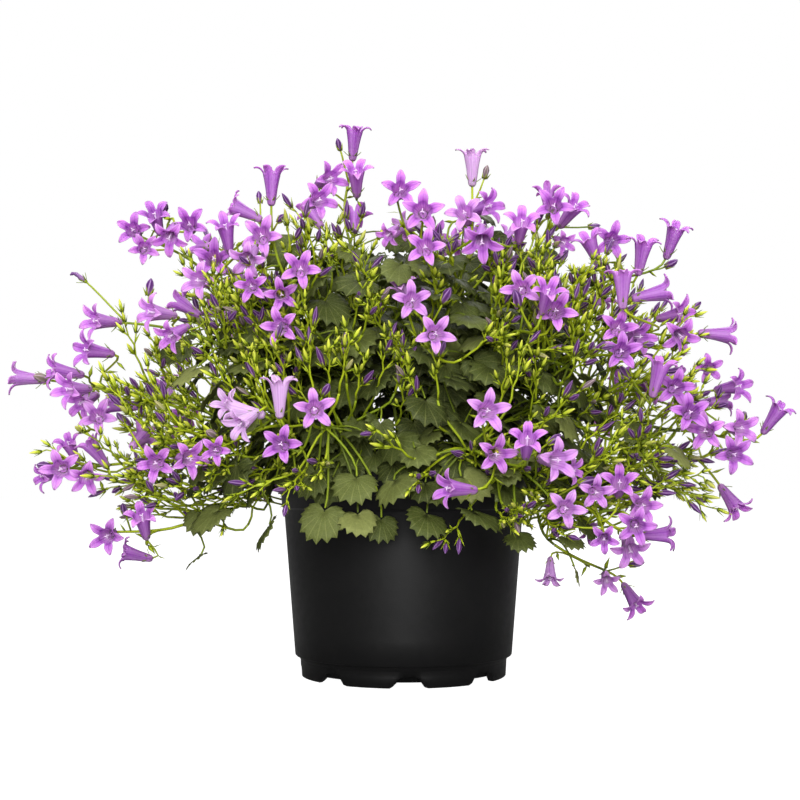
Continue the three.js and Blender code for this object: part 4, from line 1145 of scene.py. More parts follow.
# The larger leaves have more teeth and rings than those that fill the plant
FINE_LEAVES = [leaf_shape(k, 15, 2, (0.03, 0.35, 0.7, 1)) for k in range(6)]
PLAIN_LEAVES = [leaf_shape(PLAIN_LEAF_SEED + k, 12, 2, (0.04, 0.66, 1)) for k in range(8)]


def add_leaf(build, leaf, tone, shape):
    points, faces, marks = shape
    rows = marks.copy()
    rows[:, 2] = tone
    axes = [-leaf["side"], leaf["axis"], leaf["up"]]
    build.add(carried(points, leaf["base"], axes, leaf["length"]), faces, "leaf", rows)


# A leafy twig of young buds, upright at the origin: a bract and a stalked bud at each joint,
# each turned from the one below by the golden angle, in radians
TWIG_JOINTS = 5
SPIRAL = 2.4
TWIG_LEAST = 30
TWIG_VARIES = 16


def twig_shape(seed, ripeness):
    draw = draws(seed)
    build = Build()
    length = TWIG_LEAST + TWIG_VARIES * draw()
    lean = draw_vector(draw, 6) * [1, 1, 0]
    points = []
    for k in range(TWIG_JOINTS + 2):
        s = k / (TWIG_JOINTS + 1)
        zigzag = np.array([math.cos(SPIRAL * k), math.sin(SPIRAL * k), 0]) * 0.9 * min(1, 3 * s)
        points.append(np.array([0, 0, length * s]) + zigzag + lean * s * s)
    tube(build, points, np.linspace(0.8, 0.45, len(points)), 5, "stalk", 0.4 + 0.6 * draw())
    rising = np.array([0, 0, 1.0])
    for k in range(2, len(points)):
        young = k / len(points)
        angle = SPIRAL * k + draw()
        out = np.array([math.cos(angle), math.sin(angle), 0])
        axis = unit(out * 0.9 + rising)
        bract(build, points[k], axis, square_to(axis, rising), 11 - 5 * young, 2.8 - young, 0.8)
        way = unit(out * (0.5 + 0.4 * draw()) + rising)
        foot = points[k] + way * (3 + 7 * draw() * (1.2 - young)) - out * 0.2
        tube(build, [points[k], foot], [0.5, 0.6], 3, "stalk", 0.9)
        ripe = min(1.0, draw() ** (1 / ripeness) * (1.3 - young * 0.6))
        long = 6 + 6.5 * ripe + 2 * draw()
        wide = 1.9 + 1.7 * ripe
        pleats = 10 if ripe > 0.5 else 6
        sepals = 0.7 - 0.35 * ripe
        add_bud(build, foot, unit(way + rising * 0.6), long, wide, ripe, draw, YOUNG_WALL, pleats, sepals)
    return build


# Most twigs are young and yellow-green, and the last of these shapes have ripe dark buds
TWIG_SHAPES = 18
YOUNG_TWIGS = 13
YOUNG_RIPENESS = 0.5
OLD_RIPENESS = 2.2
TWIGS = [
    twig_shape(TWIG_SEED + k, YOUNG_RIPENESS if k < YOUNG_TWIGS else OLD_RIPENESS)
    for k in range(TWIG_SHAPES)
]


# How near a point is to the outside of the plant, from 0 inside to 1 on its face
def outwardness(point):
    level = (point[0] / DOME_WIDTH) ** 2 + (point[1] / DOME_DEPTH) ** 2
    return min(1.0, math.sqrt(level + dome_share(point[2]) ** 2))


# Small bracts where branches leave a stem
def bracts(build, curve, places, draw, tone):
    for t in places:
        point = along(curve, t)
        way = unit(along(curve, min(1, t + 0.02)) - along(curve, t - 0.02))
        out = square_to(way, draw_vector(draw, 1))
        axis = unit(way * 0.5 + out)
        bract(build, point, axis, square_to(axis, way), 6 + 5 * draw(), 2 + draw(), tone)


def spray_piece(index, spray):
    build = Build()
    draw = draws(BELLS_SEED + index)
    for number, stalk in enumerate(spray["stalks"]):
        bloom = stalk["bloom"]
        start = TWIG_RADIUS if number == 0 else STALK_RADIUS * 0.85
        stem_tube(build, stalk["curve"], start, 0.8 * bloom["size"], "stalk", draw())
        add_bell(build, bloom, draw)
        bracts(build, stalk["curve"], [0.25 + 0.2 * draw(), 0.6 + 0.2 * draw()], draw, 0.7)
    for bud in spray["buds"]:
        stem_tube(build, bud["curve"], STALK_RADIUS * 0.8, 0.6, "stalk", draw())
        size = bud["size"]
        ripe = 0.6 + 0.4 * draw()
        length, width = BUD_LENGTH * size, 2 * BUD_RADIUS * size
        add_bud(build, bud["curve"][3], bud["axis"], length, width, ripe, draw)
    for withered in spray["withered"]:
        stem_tube(build, withered["curve"], 0.7, 0.6, "stalk", 0.5)
        withered_bell(build, withered["curve"][3], withered["axis"], draw)
    return build


# How far down in its hole a shoot starts
ROOT_DEPTH = 8


def shoot_piece(index, shoot):
    build = Build()
    draw = draws(LEAFY_SEED + index)
    foot = shoot["foot"]
    neck = [foot - [0, 0, ROOT_DEPTH], foot, along(shoot["stems"][0]["curve"], 0.02)]
    tube(build, neck, [SHOOT_RADIUS] * 3, STEM_SIDES, "stem", 0.2)
    for number, stem in enumerate(shoot["stems"]):
        start = SHOOT_RADIUS if number == 0 else TWIG_RADIUS
        stem_tube(build, stem["curve"], start, TWIG_RADIUS, "stem", draw())
    for number, leaf in enumerate(shoot["leaves"]):
        stem_tube(build, leaf["curve"], STALK_RADIUS, 0.6, "stem", draw())
        # Painted shade: a leaf deeper in the plant gets a darker tone, which also varies at random
        tone = 0.2 + 0.8 * outwardness(leaf["leaf"]["base"]) * draw()
        add_leaf(build, leaf["leaf"], tone, FINE_LEAVES[(index + number) % len(FINE_LEAVES)])
    for number, leaf in enumerate(shoot["more_leaves"]):
        stem_tube(build, leaf["curve"], 0.6, 0.5, "stem", 0.7 * draw())
        # Painted shade here too: the deeper in the plant, the darker the leaf's tone
        tone = 0.75 * outwardness(leaf["leaf"]["base"]) * draw()
        add_leaf(build, leaf["leaf"], tone, PLAIN_LEAVES[(index + number) % len(PLAIN_LEAVES)])
    for twig in shoot["twigs"]:
        stem_tube(build, twig["curve"], 0.8, 0.8, "stalk", draw())
        build.copy(TWIGS[twig["shape"]], twig["curve"][3], twig["axes"], 1)
    return build


# Places along the stems from which more leaves and twigs can grow. One counts as further off
# where it is above what grows from it, or where much grows from it and near it already.
SPOT_SPACE = 5
CROWDING = 22
ABOVE_COST = 1.3
CROWD_REACH = 8


class Spots:
    def __init__(self):
        self.places = []
        self.owners = []
        for shoot in shoots:
            for stem in shoot["stems"]:
                count = int(length_of(stem["curve"]) / SPOT_SPACE)
                for k in range(count // 6, count):
                    self.places.append(along(stem["curve"], k / count))
                    self.owners.append((shoot, stem["piece"]))
        self.places = np.array(self.places)
        self.used = np.zeros(len(self.places))

    # The nearest place that is below a target, and the shoot and piece it is on
    def nearest(self, target):
        above = np.maximum(0, self.places[:, 2] - target[2])
        off = np.sqrt(((self.places - target) ** 2).sum(1)) + ABOVE_COST * above + CROWDING * self.used
        best = int(np.argmin(off))
        return best, self.places[best], *self.owners[best]

    def use(self, best):
        near = ((self.places - self.places[best]) ** 2).sum(1) < CROWD_REACH**2
        self.used[near] += 0.4
        self.used[best] += 0.6


# The leaves that fill the plant. They stand in shells round the middle of the plant:
# [share of the dome, how many are tried]. Some more hang round the rim as a skirt.
LEAF_SHELLS = [(0.7, 170), (0.58, 360), (0.46, 420), (0.32, 240)]
LEAF_TRIED_AGAIN = 6
LEAF_APART = 11
LEAF_SEEN_OUT = 0.67
SKIRT_LEAVES = 90
FAR_AWAY = 1e6


# Where each is tried, and how long it is
def leaf_targets(draw):
    targets = []
    for share, count in LEAF_SHELLS:
        for _ in range(count):
            way = unit(draw_vector(draw, 1) + 1e-9)
            if way[2] < -0.45:
                way = way * [1, 1, -1]
            deep = share * (0.92 + 0.16 * draw())
            rise = DOME_RISE if way[2] > 0 else DOME_DROP * 0.6
            reach = np.array([DOME_WIDTH * 0.86, DOME_DEPTH * 1.1, rise])
            targets.append((np.array([0, 0, DOME_MIDDLE]) + way * reach * deep, 14 + 12 * draw()))
    for _ in range(SKIRT_LEAVES):
        angle = 2 * math.pi * draw()
        radius = 70 + 22 * draw()
        high = POT_HEIGHT + 4 + 24 * draw()
        targets.append((round_pot(radius, angle, high), 17 + 9 * draw()))
    return targets


def fill_leaves(spots):
    taken = np.full((1, 3), FAR_AWAY)
    draw = draws(MORE_LEAF_NUMBER)
    for number, (target, length) in enumerate(leaf_targets(draw)):
        if ((taken - target) ** 2).sum(1).min() < LEAF_APART**2 or seen_out(target) > LEAF_SEEN_OUT:
            continue
        best, start, shoot, parent = spots.nearest(target)
        out = unit(np.array([target[0], target[1], 0]) + draw_vector(draw, 12))
        for _ in range(LEAF_TRIED_AGAIN):
            base = target + draw_vector(draw, 6)
            leaf = leaf_at(start, base, out, 0.35 + 0.5 * draw(), length, draw)
            balls = leaf_points(leaf["leaf"])
            if distance(start, base) > 5 and room.fits(balls, MORE_LEAF_NUMBER + number, parent):
                room.put(balls, MORE_LEAF_NUMBER + number)
                taken = np.vstack([taken, target])
                spots.use(best)
                shoot["more_leaves"].append(leaf)
                break


# A few points of a leaf's blade, which the others keep clear of
BLADE_PLACES = [(0.15, 0), (0.45, 0), (0.8, 0), (0.35, 0.33), (0.35, -0.33)]


def leaf_points(leaf):
    balls = []
    for forward, sideways in BLADE_PLACES:
        away = (forward - LEAF_MIDDLE) ** 2 + sideways**2
        point = leaf["base"] + (leaf["axis"] * forward + leaf["side"] * sideways) * leaf["length"]
        balls.append((point - leaf["up"] * away * LEAF_DROOP * leaf["length"], 1.4, False))
    return balls


# The budded twigs stand all over the plant, between the blooms and clear of each other,
# most of them on the side that faces forward. Each is carried by the nearest stem below it.
TWIGS_TRIED = 4200
TWIGS_MOST = 390
TWIG_APART = 10
TWIG_REACH = 44
TWIG_LENGTH = 40
TWIG_CLEAR = 2.0
FORWARD_SHARE = 0.55
OUTERMOST = 0.97
NEAREST = 6
# Twigs above a height in mm have ripe buds, and so does a share of those below it
RIPE_FROM = 272
RIPE_VARIES = 30
RIPE_BELOW = 0.07
# How far out a twig's end may be seen: above and below the dome's middle, and more to the sides
TWIG_SEEN_OUT = 0.61
LOW_SEEN_OUT = 0.73
SIDE_SEEN_OUT = 0.22
# How many of the twigs before a front leaf are left out, and where such leaves are
LEAVES_BARE = 0.5
LEAF_FRONT = -30
LEAF_REACH = 0.38


def twig_place(draw):
    way = unit(draw_vector(draw, 1) + 1e-9)
    forward = draw() < FORWARD_SHARE
    if forward:
        way = unit(np.array([way[0] * 1.1, -0.55 - 0.6 * draw(), way[2] * 0.9 + 0.12]))
    share = (0.55 + 0.33 * draw()) if forward else (0.52 + 0.26 * draw())
    rise = DOME_RISE if way[2] > 0 else DOME_DROP * 0.7
    foot = np.array([0, 0, DOME_MIDDLE]) + way * [DOME_WIDTH, DOME_DEPTH, rise] * share
    away = unit((foot - [0, 0, DOME_MIDDLE - 30]) / [DOME_WIDTH, DOME_DEPTH, DOME_RISE])
    axis = unit(away * 0.8 + np.array([0, 0, 0.6]) + draw_vector(draw, 0.6))
    return foot, axis


# How far out a point is as it is seen from the front, from 0 at the dome's middle to 1
def seen_out(point):
    return math.hypot(point[0] / DOME_WIDTH, dome_share(point[2]))


# Where the front leaves are seen, as [x, z, reach]: few twigs stand before them
def leaves_seen():
    seen = []
    for shoot in shoots:
        for leaf in shoot["leaves"]:
            base, length = leaf["leaf"]["base"], leaf["leaf"]["length"]
            if base[1] < LEAF_FRONT:
                middle = base + leaf["leaf"]["axis"] * LEAF_MIDDLE * length
                seen.append([*seen_at(middle), LEAF_REACH * length])
    return np.array(seen)


def fill_twigs(spots):
    taken = np.full((1, 3), FAR_AWAY)
    shown = leaves_seen()
    draw = draws(TWIG_NUMBER)
    count = 0
    for number in range(TWIGS_TRIED):
        if count == TWIGS_MOST:
            break
        foot, axis = twig_place(draw)
        end = foot + axis * TWIG_LENGTH
        apart = ((taken - foot) ** 2).sum(1).min() > TWIG_APART**2
        furthest = TWIG_SEEN_OUT if end[2] > DOME_MIDDLE else LOW_SEEN_OUT
        furthest += SIDE_SEEN_OUT * abs(end[0]) / DOME_WIDTH
        if not apart or outwardness(end) > OUTERMOST or seen_out(end) > furthest:
            continue
        path = np.array([seen_at(foot + axis * TWIG_LENGTH * s) for s in (0, 0.35, 0.7, 1)])
        gaps = np.hypot(shown[:, None, 0] - path[:, 0], shown[:, None, 1] - path[:, 1])
        if foot[1] < 0 and (gaps < shown[:, None, 2]).any() and draw() < LEAVES_BARE:
            continue
        best, start, shoot, parent = spots.nearest(foot)
        span = distance(start, foot)
        if span > TWIG_REACH or span < NEAREST:
            continue
        axis = unit(axis + unit(foot - start) * 0.9)
        balls = [(foot + axis * TWIG_LENGTH * s, TWIG_CLEAR, False) for s in (0, 0.25, 0.5, 0.75, 1)]
        if room.fits(balls, TWIG_NUMBER + number, parent):
            room.put(balls, TWIG_NUMBER + number)
            taken = np.vstack([taken, foot])
            spots.use(best)
            leave = unit(unit(foot - start) + np.array([0, 0, 0.3]))
            curve = [start, start + leave * span * 0.4, foot - axis * span * 0.35, foot]
            ripe = foot[2] + RIPE_VARIES * draw() > RIPE_FROM or draw() < RIPE_BELOW
            shape = YOUNG_TWIGS + count % (len(TWIGS) - YOUNG_TWIGS) if ripe else count % YOUNG_TWIGS
            axes = axes_of(square_to(axis, draw_vector(draw, 1)), axis)
            shoot["twigs"].append({"shape": shape, "curve": curve, "axes": axes})
            count += 1


# Withered bells, each on a thin stalk: [x, z] seen from the front, the way that they point,
# and their length and radii in mm
WITHERED = [(-219, 268)]
WITHERED_WAY = np.array([-0.75, 0, 0.65])
WITHERED_LENGTH = 14
WITHERED_RADII = [0.8, 1.5, 1.7, 1.3, 1.5, 0.9, 1.2, 0.3]


def add_withered():
    for x, z in WITHERED:
        axis = unit(WITHERED_WAY)
        places = []
        for spray in sprays.values():
            for stalk in spray["stalks"]:
                for t in (0.3, 0.5, 0.7, 0.9):
                    start = along(stalk["curve"], t)
                    seen = seen_at(start)
                    if start[1] < 0 and seen[1] < z - 8:
                        places.append((math.hypot(seen[0] - x, seen[1] - z), len(places), spray, start))
        spray, start = min(places)[2:]
        foot = placed(x, z, -start[1])
        span = distance(start, foot)
        leave = unit(foot - start)
        curve = [start, start + leave * span * 0.4, foot - axis * span * 0.25, foot]
        spray["withered"].append({"curve": curve, "axis": axis})


# It is crumpled, and its tip hangs
def withered_bell(build, foot, axis, draw):
    side = square_to(axis, draw_vector(draw, 1))
    droop = np.array([0, 0, -1.0])
    points = []
    for s in np.linspace(0, 1, len(WITHERED_RADII)):
        points.append(foot + axis * s * WITHERED_LENGTH + side * math.sin(5 * s) + droop * 5 * s**4)
    tube(build, points, WITHERED_RADII, 8, "bud", 1.0)
    calyx(build, foot, axis, 0.8, 0.7, draw, 0.3)


# The radius of the pot's wall at a height
def pot_wall(z):
    share = (z - FOOT_HEIGHT) / (POT_HEIGHT - FOOT_HEIGHT)
    return FOOT_TOP_RADIUS + (RIM_RADIUS - RIM_STEP - FOOT_TOP_RADIUS) * share


# The pot's section, up its outside and down its inside: [radius, height]
def pot_profile():
    band = POT_HEIGHT - RIM_BAND
    lip = RIM_RADIUS
    outside = [(FOOT_RADIUS - 0.4, 0), (FOOT_RADIUS, 0.4), (FOOT_RADIUS + 0.3, NOTCH_HEIGHT)]
    outside += [(FOOT_RADIUS + 0.6, FOOT_HEIGHT - 1.2), (FOOT_RADIUS + 1.2, FOOT_HEIGHT - 0.5)]
    outside += [(FOOT_TOP_RADIUS - 0.5, FOOT_HEIGHT - 0.2), (FOOT_TOP_RADIUS, FOOT_HEIGHT + 0.4)]
    outside += [(pot_wall(z), z) for z in (30, 50, 70, 90, band - 1.2)]
    outside += [(pot_wall(band) + 0.15, band - 0.5), (pot_wall(band) + RIM_STEP - 0.3, band)]
    outside += [(pot_wall(band) + RIM_STEP, band + 0.5)]
    outside += [(lip - 0.35, POT_HEIGHT - 3), (lip, POT_HEIGHT - 2.2)]
    outside += [(lip, POT_HEIGHT - 0.9), (lip - 0.5, POT_HEIGHT - 0.1)]
    inside = [(lip - WALL + 0.3, POT_HEIGHT), (lip - WALL - 0.2, POT_HEIGHT - 0.6)]
    inside += [(lip - WALL - 0.6, POT_HEIGHT - 8)]
    inside += [(pot_wall(band) - WALL, band - 4), (pot_wall(FOOT_HEIGHT) - WALL, FOOT_HEIGHT)]
    inside += [(FOOT_RADIUS - WALL, FLOOR_LEVEL + WALL)]
    return outside, inside


def pot_piece():
    outside, inside = pot_profile()
    foot_in = [(FOOT_RADIUS - 3.6, FLOOR_LEVEL - 1.6), (FOOT_RADIUS - 3, 0.3), (FOOT_RADIUS - 2.6, 0)]
    across = [0.01, DRAIN_CIRCLE - DRAIN_RADIUS, DRAIN_CIRCLE, DRAIN_CIRCLE + DRAIN_RADIUS]
    under = [(radius, FLOOR_LEVEL) for radius in across]
    over = [(radius, FLOOR_LEVEL + WALL) for radius in reversed(across)]
    ring = under + foot_in + outside + inside + over
    points = []
    marks = []
    for radius, height in ring:
        for k in range(POT_SIDES):
            angle = step_round(k, POT_SIDES)
            notched = radius > FOOT_RADIUS - 3.3 and height < NOTCH_HEIGHT
            z = max(height, notch_height(angle)) if notched else height
            points.append([*drain_edge(radius, angle), z])
            marks.append([height / POT_HEIGHT, k / POT_SIDES, 0.5, 0])
    # Each drain is a gap of some quads by two, in the floor's underside and in its top
    rows = len(ring)
    quads = grid_faces(rows, POT_SIDES, True)
    bands = (1, 2, rows - 4, rows - 3)
    holes = {(j, k % POT_SIDES) for j in bands for d in range(DRAINS) for k in drain_quads(d)}
    kept = [face for n, face in enumerate(quads) if (n // POT_SIDES, n % POT_SIDES) not in holes]
    for d in range(DRAINS):
        span = drain_quads(d)
        first, last = span[0], span[-1] + 1
        loop = [(1, k) for k in range(first, last + 1)] + [(2, last)]
        loop += [(3, k) for k in range(last, first - 1, -1)] + [(2, first)]
        low = [j * POT_SIDES + k % POT_SIDES for j, k in loop]
        high = [(rows - 1 - j) * POT_SIDES + k % POT_SIDES for j, k in loop]
        for n in range(len(loop)):
            m = (n + 1) % len(loop)
            kept.append((low[n], high[n], high[m], low[m]))
    build = Build()
    build.add(points, kept, "pot", marks)
    return build


# The columns of the pot's grid that a drain takes up
DRAIN_QUADS = 8


def drain_quads(number):
    middle = round(number * POT_SIDES / DRAINS)
    return list(range(middle - DRAIN_QUADS // 2, middle + DRAIN_QUADS // 2))


# Where a point of the floor's grid stands: those round a drain are drawn on to its circle
def drain_edge(radius, angle):
    x, y = radius * math.cos(angle), radius * math.sin(angle)
    spacing = 2 * math.pi / DRAINS
    middle = round(angle / spacing) * spacing
    over = (angle - middle) / (math.pi * DRAIN_QUADS / POT_SIDES)
    out = (radius - DRAIN_CIRCLE) / DRAIN_RADIUS
    if max(abs(over), abs(out)) > 1.001 or max(abs(over), abs(out)) < 0.999:
        return x, y
    size = math.hypot(over, out)
    far = DRAIN_CIRCLE + DRAIN_RADIUS * out / size
    off = DRAIN_RADIUS * over / size
    return far * math.cos(middle) - off * math.sin(middle), far * math.sin(middle) + off * math.cos(middle)


# How high a water notch in the foot ring is at an angle round the pot, or nothing
def notch_height(angle):
    spacing = 2 * math.pi / NOTCHES
    first = math.radians(NOTCH_TURN - 90)
    off = abs((angle - first + spacing / 2) % spacing - spacing / 2) * FOOT_RADIUS
    narrow, wide = NOTCH_NARROW / 2, NOTCH_WIDE / 2
    return NOTCH_HEIGHT * min(1.0, max(0.0, (wide - off) / (wide - narrow)))


# Peat: an uneven top with crumbs lying on it
SOIL_RINGS = 36
SOIL_SPOKES = 120
SOIL_DEPTH = 20
CRUMBS = 600


def soil_piece():
    build = Build()
    draw = draws(CRUMB_SEED)
    outer = pot_wall(SOIL_TOP) - WALL - 0.6
    rings, spokes = SOIL_RINGS, SOIL_SPOKES
    points = []
    for j in range(rings):
        for k in range(spokes):
            radius = outer * (0.01 + 0.99 * j / (rings - 1))
            angle = step_round(k, spokes)
            x, y = radius * math.cos(angle), radius * math.sin(angle)
            bump = noise.noise(Vector((x, y, 0)) * 0.12) * 1.4
            bump += noise.noise(Vector((x, y, 5)) * 0.45) * 0.9
            points.append([x, y, SOIL_TOP + bump])
    for k in range(spokes):
        points.append(round_pot(outer, step_round(k, spokes), SOIL_TOP - SOIL_DEPTH))
    build.add(points, turned_over(rod_faces(rings + 1, spokes)), "soil", [0.5, 0.5, 0.5, 0])
    add_crumbs(build, draw, outer * 0.96)
    return build


# Crumbs of peat within a radius, each an uneven block
def add_crumbs(build, draw, reach):
    ball = [(x, y, z) for x in (-1, 1) for y in (-1, 1) for z in (-1, 1)]
    sides = [(0, 1, 3, 2), (4, 6, 7, 5), (0, 4, 5, 1), (2, 3, 7, 6), (0, 2, 6, 4), (1, 5, 7, 3)]
    for _ in range(CRUMBS):
        radius = reach * math.sqrt(draw())
        angle = 2 * math.pi * draw()
        size = 0.5 + 1.6 * draw() ** 3
        place = round_pot(radius, angle, SOIL_TOP + 0.5 + 0.4 * size)
        axis = unit(draw_vector(draw, 1) + 1e-6)
        turn = axes_of(square_to(axis, draw_vector(draw, 1)), axis)
        crumb = np.array(ball) * (0.6 + 0.5 * np.array([draw() for _ in range(3)]))
        build.add(carried(crumb, place, turn, size * 0.7), sides, "soil", [0.5, 0.5, draw(), 0])


def linear(value):
    return value / 12.92 if value <= 0.04045 else ((value + 0.055) / 1.055) ** 2.4


# The stops of a ramp node: [place, three colour values]
def set_stops(node, stops):
    band = node.color_ramp
    while len(band.elements) < len(stops):
        band.elements.new(0.5)
    for element, (place, colour) in zip(band.elements, stops):
        element.position = place
        element.color = (*colour, 1)


# A node tree being made, with short ways to add what most materials here use
CELL_SHARPNESS = 9.0


class Look:
    def __init__(self, name, roughness, **fixed):
        self.material = bpy.data.materials.new(name)
        self.material.use_nodes = True
        self.nodes = self.material.node_tree.nodes
        self.links = self.material.node_tree.links
        self.shader = self.nodes["Principled BSDF"]
        self.shader.inputs["Roughness"].default_value = roughness
        for socket, value in fixed.items():
            self.shader.inputs[socket.replace("_", " ")].default_value = value
        mark = self.nodes.new("ShaderNodeAttribute")
        mark.attribute_name = "mark"
        split = self.nodes.new("ShaderNodeSeparateColor")
        self.links.new(mark.outputs["Color"], split.inputs["Color"])
        self.along, self.across, self.tone = (split.outputs[name] for name in ("Red", "Green", "Blue"))
        self.outside = mark.outputs["Alpha"]

    def put(self, node, name, value):
        if isinstance(value, (int, float)):
            node.inputs[name].default_value = value
        else:
            self.links.new(value, node.inputs[name])

    def math(self, operation, a, b=0.0, clamp=False):
        node = self.nodes.new("ShaderNodeMath")
        node.operation = operation
        node.use_clamp = clamp
        self.put(node, 0, a)
        self.put(node, 1, b)
        return node.outputs[0]

    def times(self, a, b):
        return self.math("MULTIPLY", a, b)

    def ramp(self, value, stops):
        node = self.nodes.new("ShaderNodeValToRGB")
        set_stops(node, [(place, [linear(v) for v in colour]) for place, colour in stops])
        self.links.new(value, node.inputs["Fac"])
        return node.outputs["Color"]

    def mix(self, share, a, b, blend="MIX"):
        node = self.nodes.new("ShaderNodeMix")
        node.data_type = "RGBA"
        node.blend_type = blend
        self.put(node, "Factor", share)
        for name, colour in (("A", a), ("B", b)):
            socket = [s for s in node.inputs if s.name == name and s.type == "RGBA"][0]
            if isinstance(colour, tuple):
                socket.default_value = (*[linear(v) for v in colour], 1)
            else:
                self.links.new(colour, socket)
        return [s for s in node.outputs if s.type == "RGBA"][0]

    # A texture that lies on the piece's own coordinates
    def texture(self, kind, scale):
        node = self.nodes.new(kind)
        place = self.nodes.new("ShaderNodeTexCoord")
        self.links.new(place.outputs["Object"], node.inputs["Vector"])
        node.inputs["Scale"].default_value = scale
        return node

    def noise(self, scale, detail=3.0):
        node = self.texture("ShaderNodeTexNoise", scale)
        node.inputs["Detail"].default_value = detail
        return node.outputs["Fac"]

    # The edges of small cells, from 0 inside a cell to 1 on its edge
    def cells(self, scale):
        node = self.texture("ShaderNodeTexVoronoi", scale)
        node.feature = "DISTANCE_TO_EDGE"
        inside = self.times(node.outputs["Distance"], CELL_SHARPNESS)
        return self.math("SUBTRACT", 1.0, inside, clamp=True)

    # A line at a place across a piece, from 0 off it to 1 on it
    def line(self, place, width):
        off = self.math("ABSOLUTE", self.math("SUBTRACT", self.across, place))
        return self.math("SUBTRACT", 1.0, self.math("DIVIDE", off, width), clamp=True)

    def colour(self, colour):
        self.links.new(colour, self.shader.inputs["Base Color"])

    def bump(self, height, strength, distance):
        node = self.nodes.new("ShaderNodeBump")
        node.inputs["Strength"].default_value = strength
        node.inputs["Distance"].default_value = distance
        self.links.new(height, node.inputs["Height"])
        self.links.new(node.outputs["Normal"], self.shader.inputs["Normal"])


# Violet petals: pale deep in the tube, darkest at the mouth and lighter to the tips, with
# a dark line down each lobe. The pale deep in the tube is partly the throat's own pale centre and partly
# painted light that lifts the shade inside the tube.
def petal_look():
    look = Look("petal", 0.55, Subsurface_Weight=0.5, Subsurface_Scale=0.002, Specular_IOR_Level=0.2)
    look.shader.inputs["Subsurface Radius"].default_value = (1.0, 0.6, 1.0)
    outer = look.ramp(look.along, [
        (0.0, (0.68, 0.47, 0.69)), (0.15, (0.57, 0.3, 0.65)), (0.4, (0.54, 0.25, 0.64)),
        (0.6, (0.62, 0.32, 0.7)), (1.0, (0.75, 0.45, 0.8)),
    ])
    # Inside colours. The first two, palest stops are the throat's pale centre and also painted light over
    # the shade deep in the tube
    inner = look.ramp(look.along, [
        (0.0, (0.94, 0.8, 0.94)), (0.3, (0.88, 0.68, 0.9)), (0.42, (0.67, 0.34, 0.76)),
        (0.48, (0.52, 0.17, 0.62)), (0.6, (0.66, 0.3, 0.75)), (0.82, (0.79, 0.47, 0.85)),
        (1.0, (0.83, 0.59, 0.87)),
    ])
    both = look.mix(look.outside, inner, outer)
    age = look.math("POWER", look.tone, 5.0)
    pale = look.mix(look.times(age, 0.75), both, (0.88, 0.74, 0.91))
    deep = look.times(look.math("SUBTRACT", 0.45, look.tone, clamp=True), 1.1)
    varied = look.mix(deep, pale, (0.5, 0.2, 0.62))
    lit = look.mix(look.times(look.across, 0.25), varied, (0.9, 0.7, 0.94))
    veins = look.math("MAXIMUM", look.line(0.0, 0.2), look.times(look.line(0.55, 0.14), 0.55))
    fading = look.math("SUBTRACT", 1.3, look.along, clamp=True)
    darkness = look.math("SUBTRACT", 0.9, look.times(look.tone, 0.5))
    strength = look.times(veins, look.times(fading, darkness))
    veined = look.mix(strength, lit, (0.44, 0.1, 0.54))
    edge = look.times(look.math("GREATER_THAN", look.across, 0.94), 0.2)
    edged = look.mix(edge, veined, (0.5, 0.24, 0.62))
    look.colour(look.mix(look.times(look.noise(700), 0.2), edged, (0.86, 0.68, 0.9)))
    look.bump(look.noise(2600, 2), 0.2, 0.0002)
    return look.material


# Green parts: mottled, and from a dark colour to a light one by their tone
def green_look(name, dark, light, roughness, scale):
    look = Look(name, roughness, Specular_IOR_Level=0.35)
    base = look.ramp(look.tone, [(0.0, dark), (1.0, light)])
    spots = look.times(look.noise(scale), 0.45)
    look.colour(look.mix(spots, base, tuple(v * 0.55 for v in dark)))
    look.bump(look.noise(scale * 2), 0.3, 0.0003)
    return look.material


# Leaves: dull olive green, darker by their tone the deeper they are in the plant (painted shade, with random
# variation), lighter along the vein of each tooth, with a fine net of veins
def leaf_look():
    look = Look("leaf", 0.6, Specular_IOR_Level=0.3)
    stops = [(0.0, (0.18, 0.21, 0.06)), (0.4, (0.33, 0.37, 0.15)), (1.0, (0.65, 0.67, 0.39))]
    base = look.ramp(look.tone, stops)
    veined = look.mix(look.times(look.line(0.0, 0.2), 0.38), base, (0.64, 0.66, 0.38))
    net = look.cells(520)
    netted = look.mix(look.times(net, 0.14), veined, (0.6, 0.62, 0.36))
    look.colour(look.mix(look.times(look.noise(420), 0.5), netted, (0.21, 0.25, 0.09)))
    look.bump(look.math("SUBTRACT", look.noise(1100), look.times(net, 0.6)), 0.5, 0.0006)
    return look.material


# Buds: yellow-green while young, then dark violet with lilac ribs
def bud_look():
    look = Look("bud", 0.45, Specular_IOR_Level=0.35)
    young = look.ramp(look.along, [(0.0, (0.64, 0.73, 0.1)), (1.0, (0.86, 0.87, 0.32))])
    stops = [(0.0, (0.44, 0.36, 0.4)), (0.3, (0.33, 0.16, 0.4)), (1.0, (0.29, 0.09, 0.38))]
    ripe = look.ramp(look.along, stops)
    ribs = look.times(look.math("POWER", look.across, 3.0), 0.75)
    ribbed = look.mix(ribs, ripe, (0.74, 0.58, 0.8))
    age = look.math("MULTIPLY", look.math("SUBTRACT", look.tone, 0.45), 5.0, clamp=True)
    look.colour(look.mix(age, young, ribbed))
    look.bump(look.noise(2500), 0.2, 0.0002)
    return look.material


# Pale lilac styles
def style_look():
    look = Look("style", 0.5)
    look.colour(look.mix(look.noise(1500), (0.93, 0.85, 0.93), (0.82, 0.7, 0.86)))
    return look.material


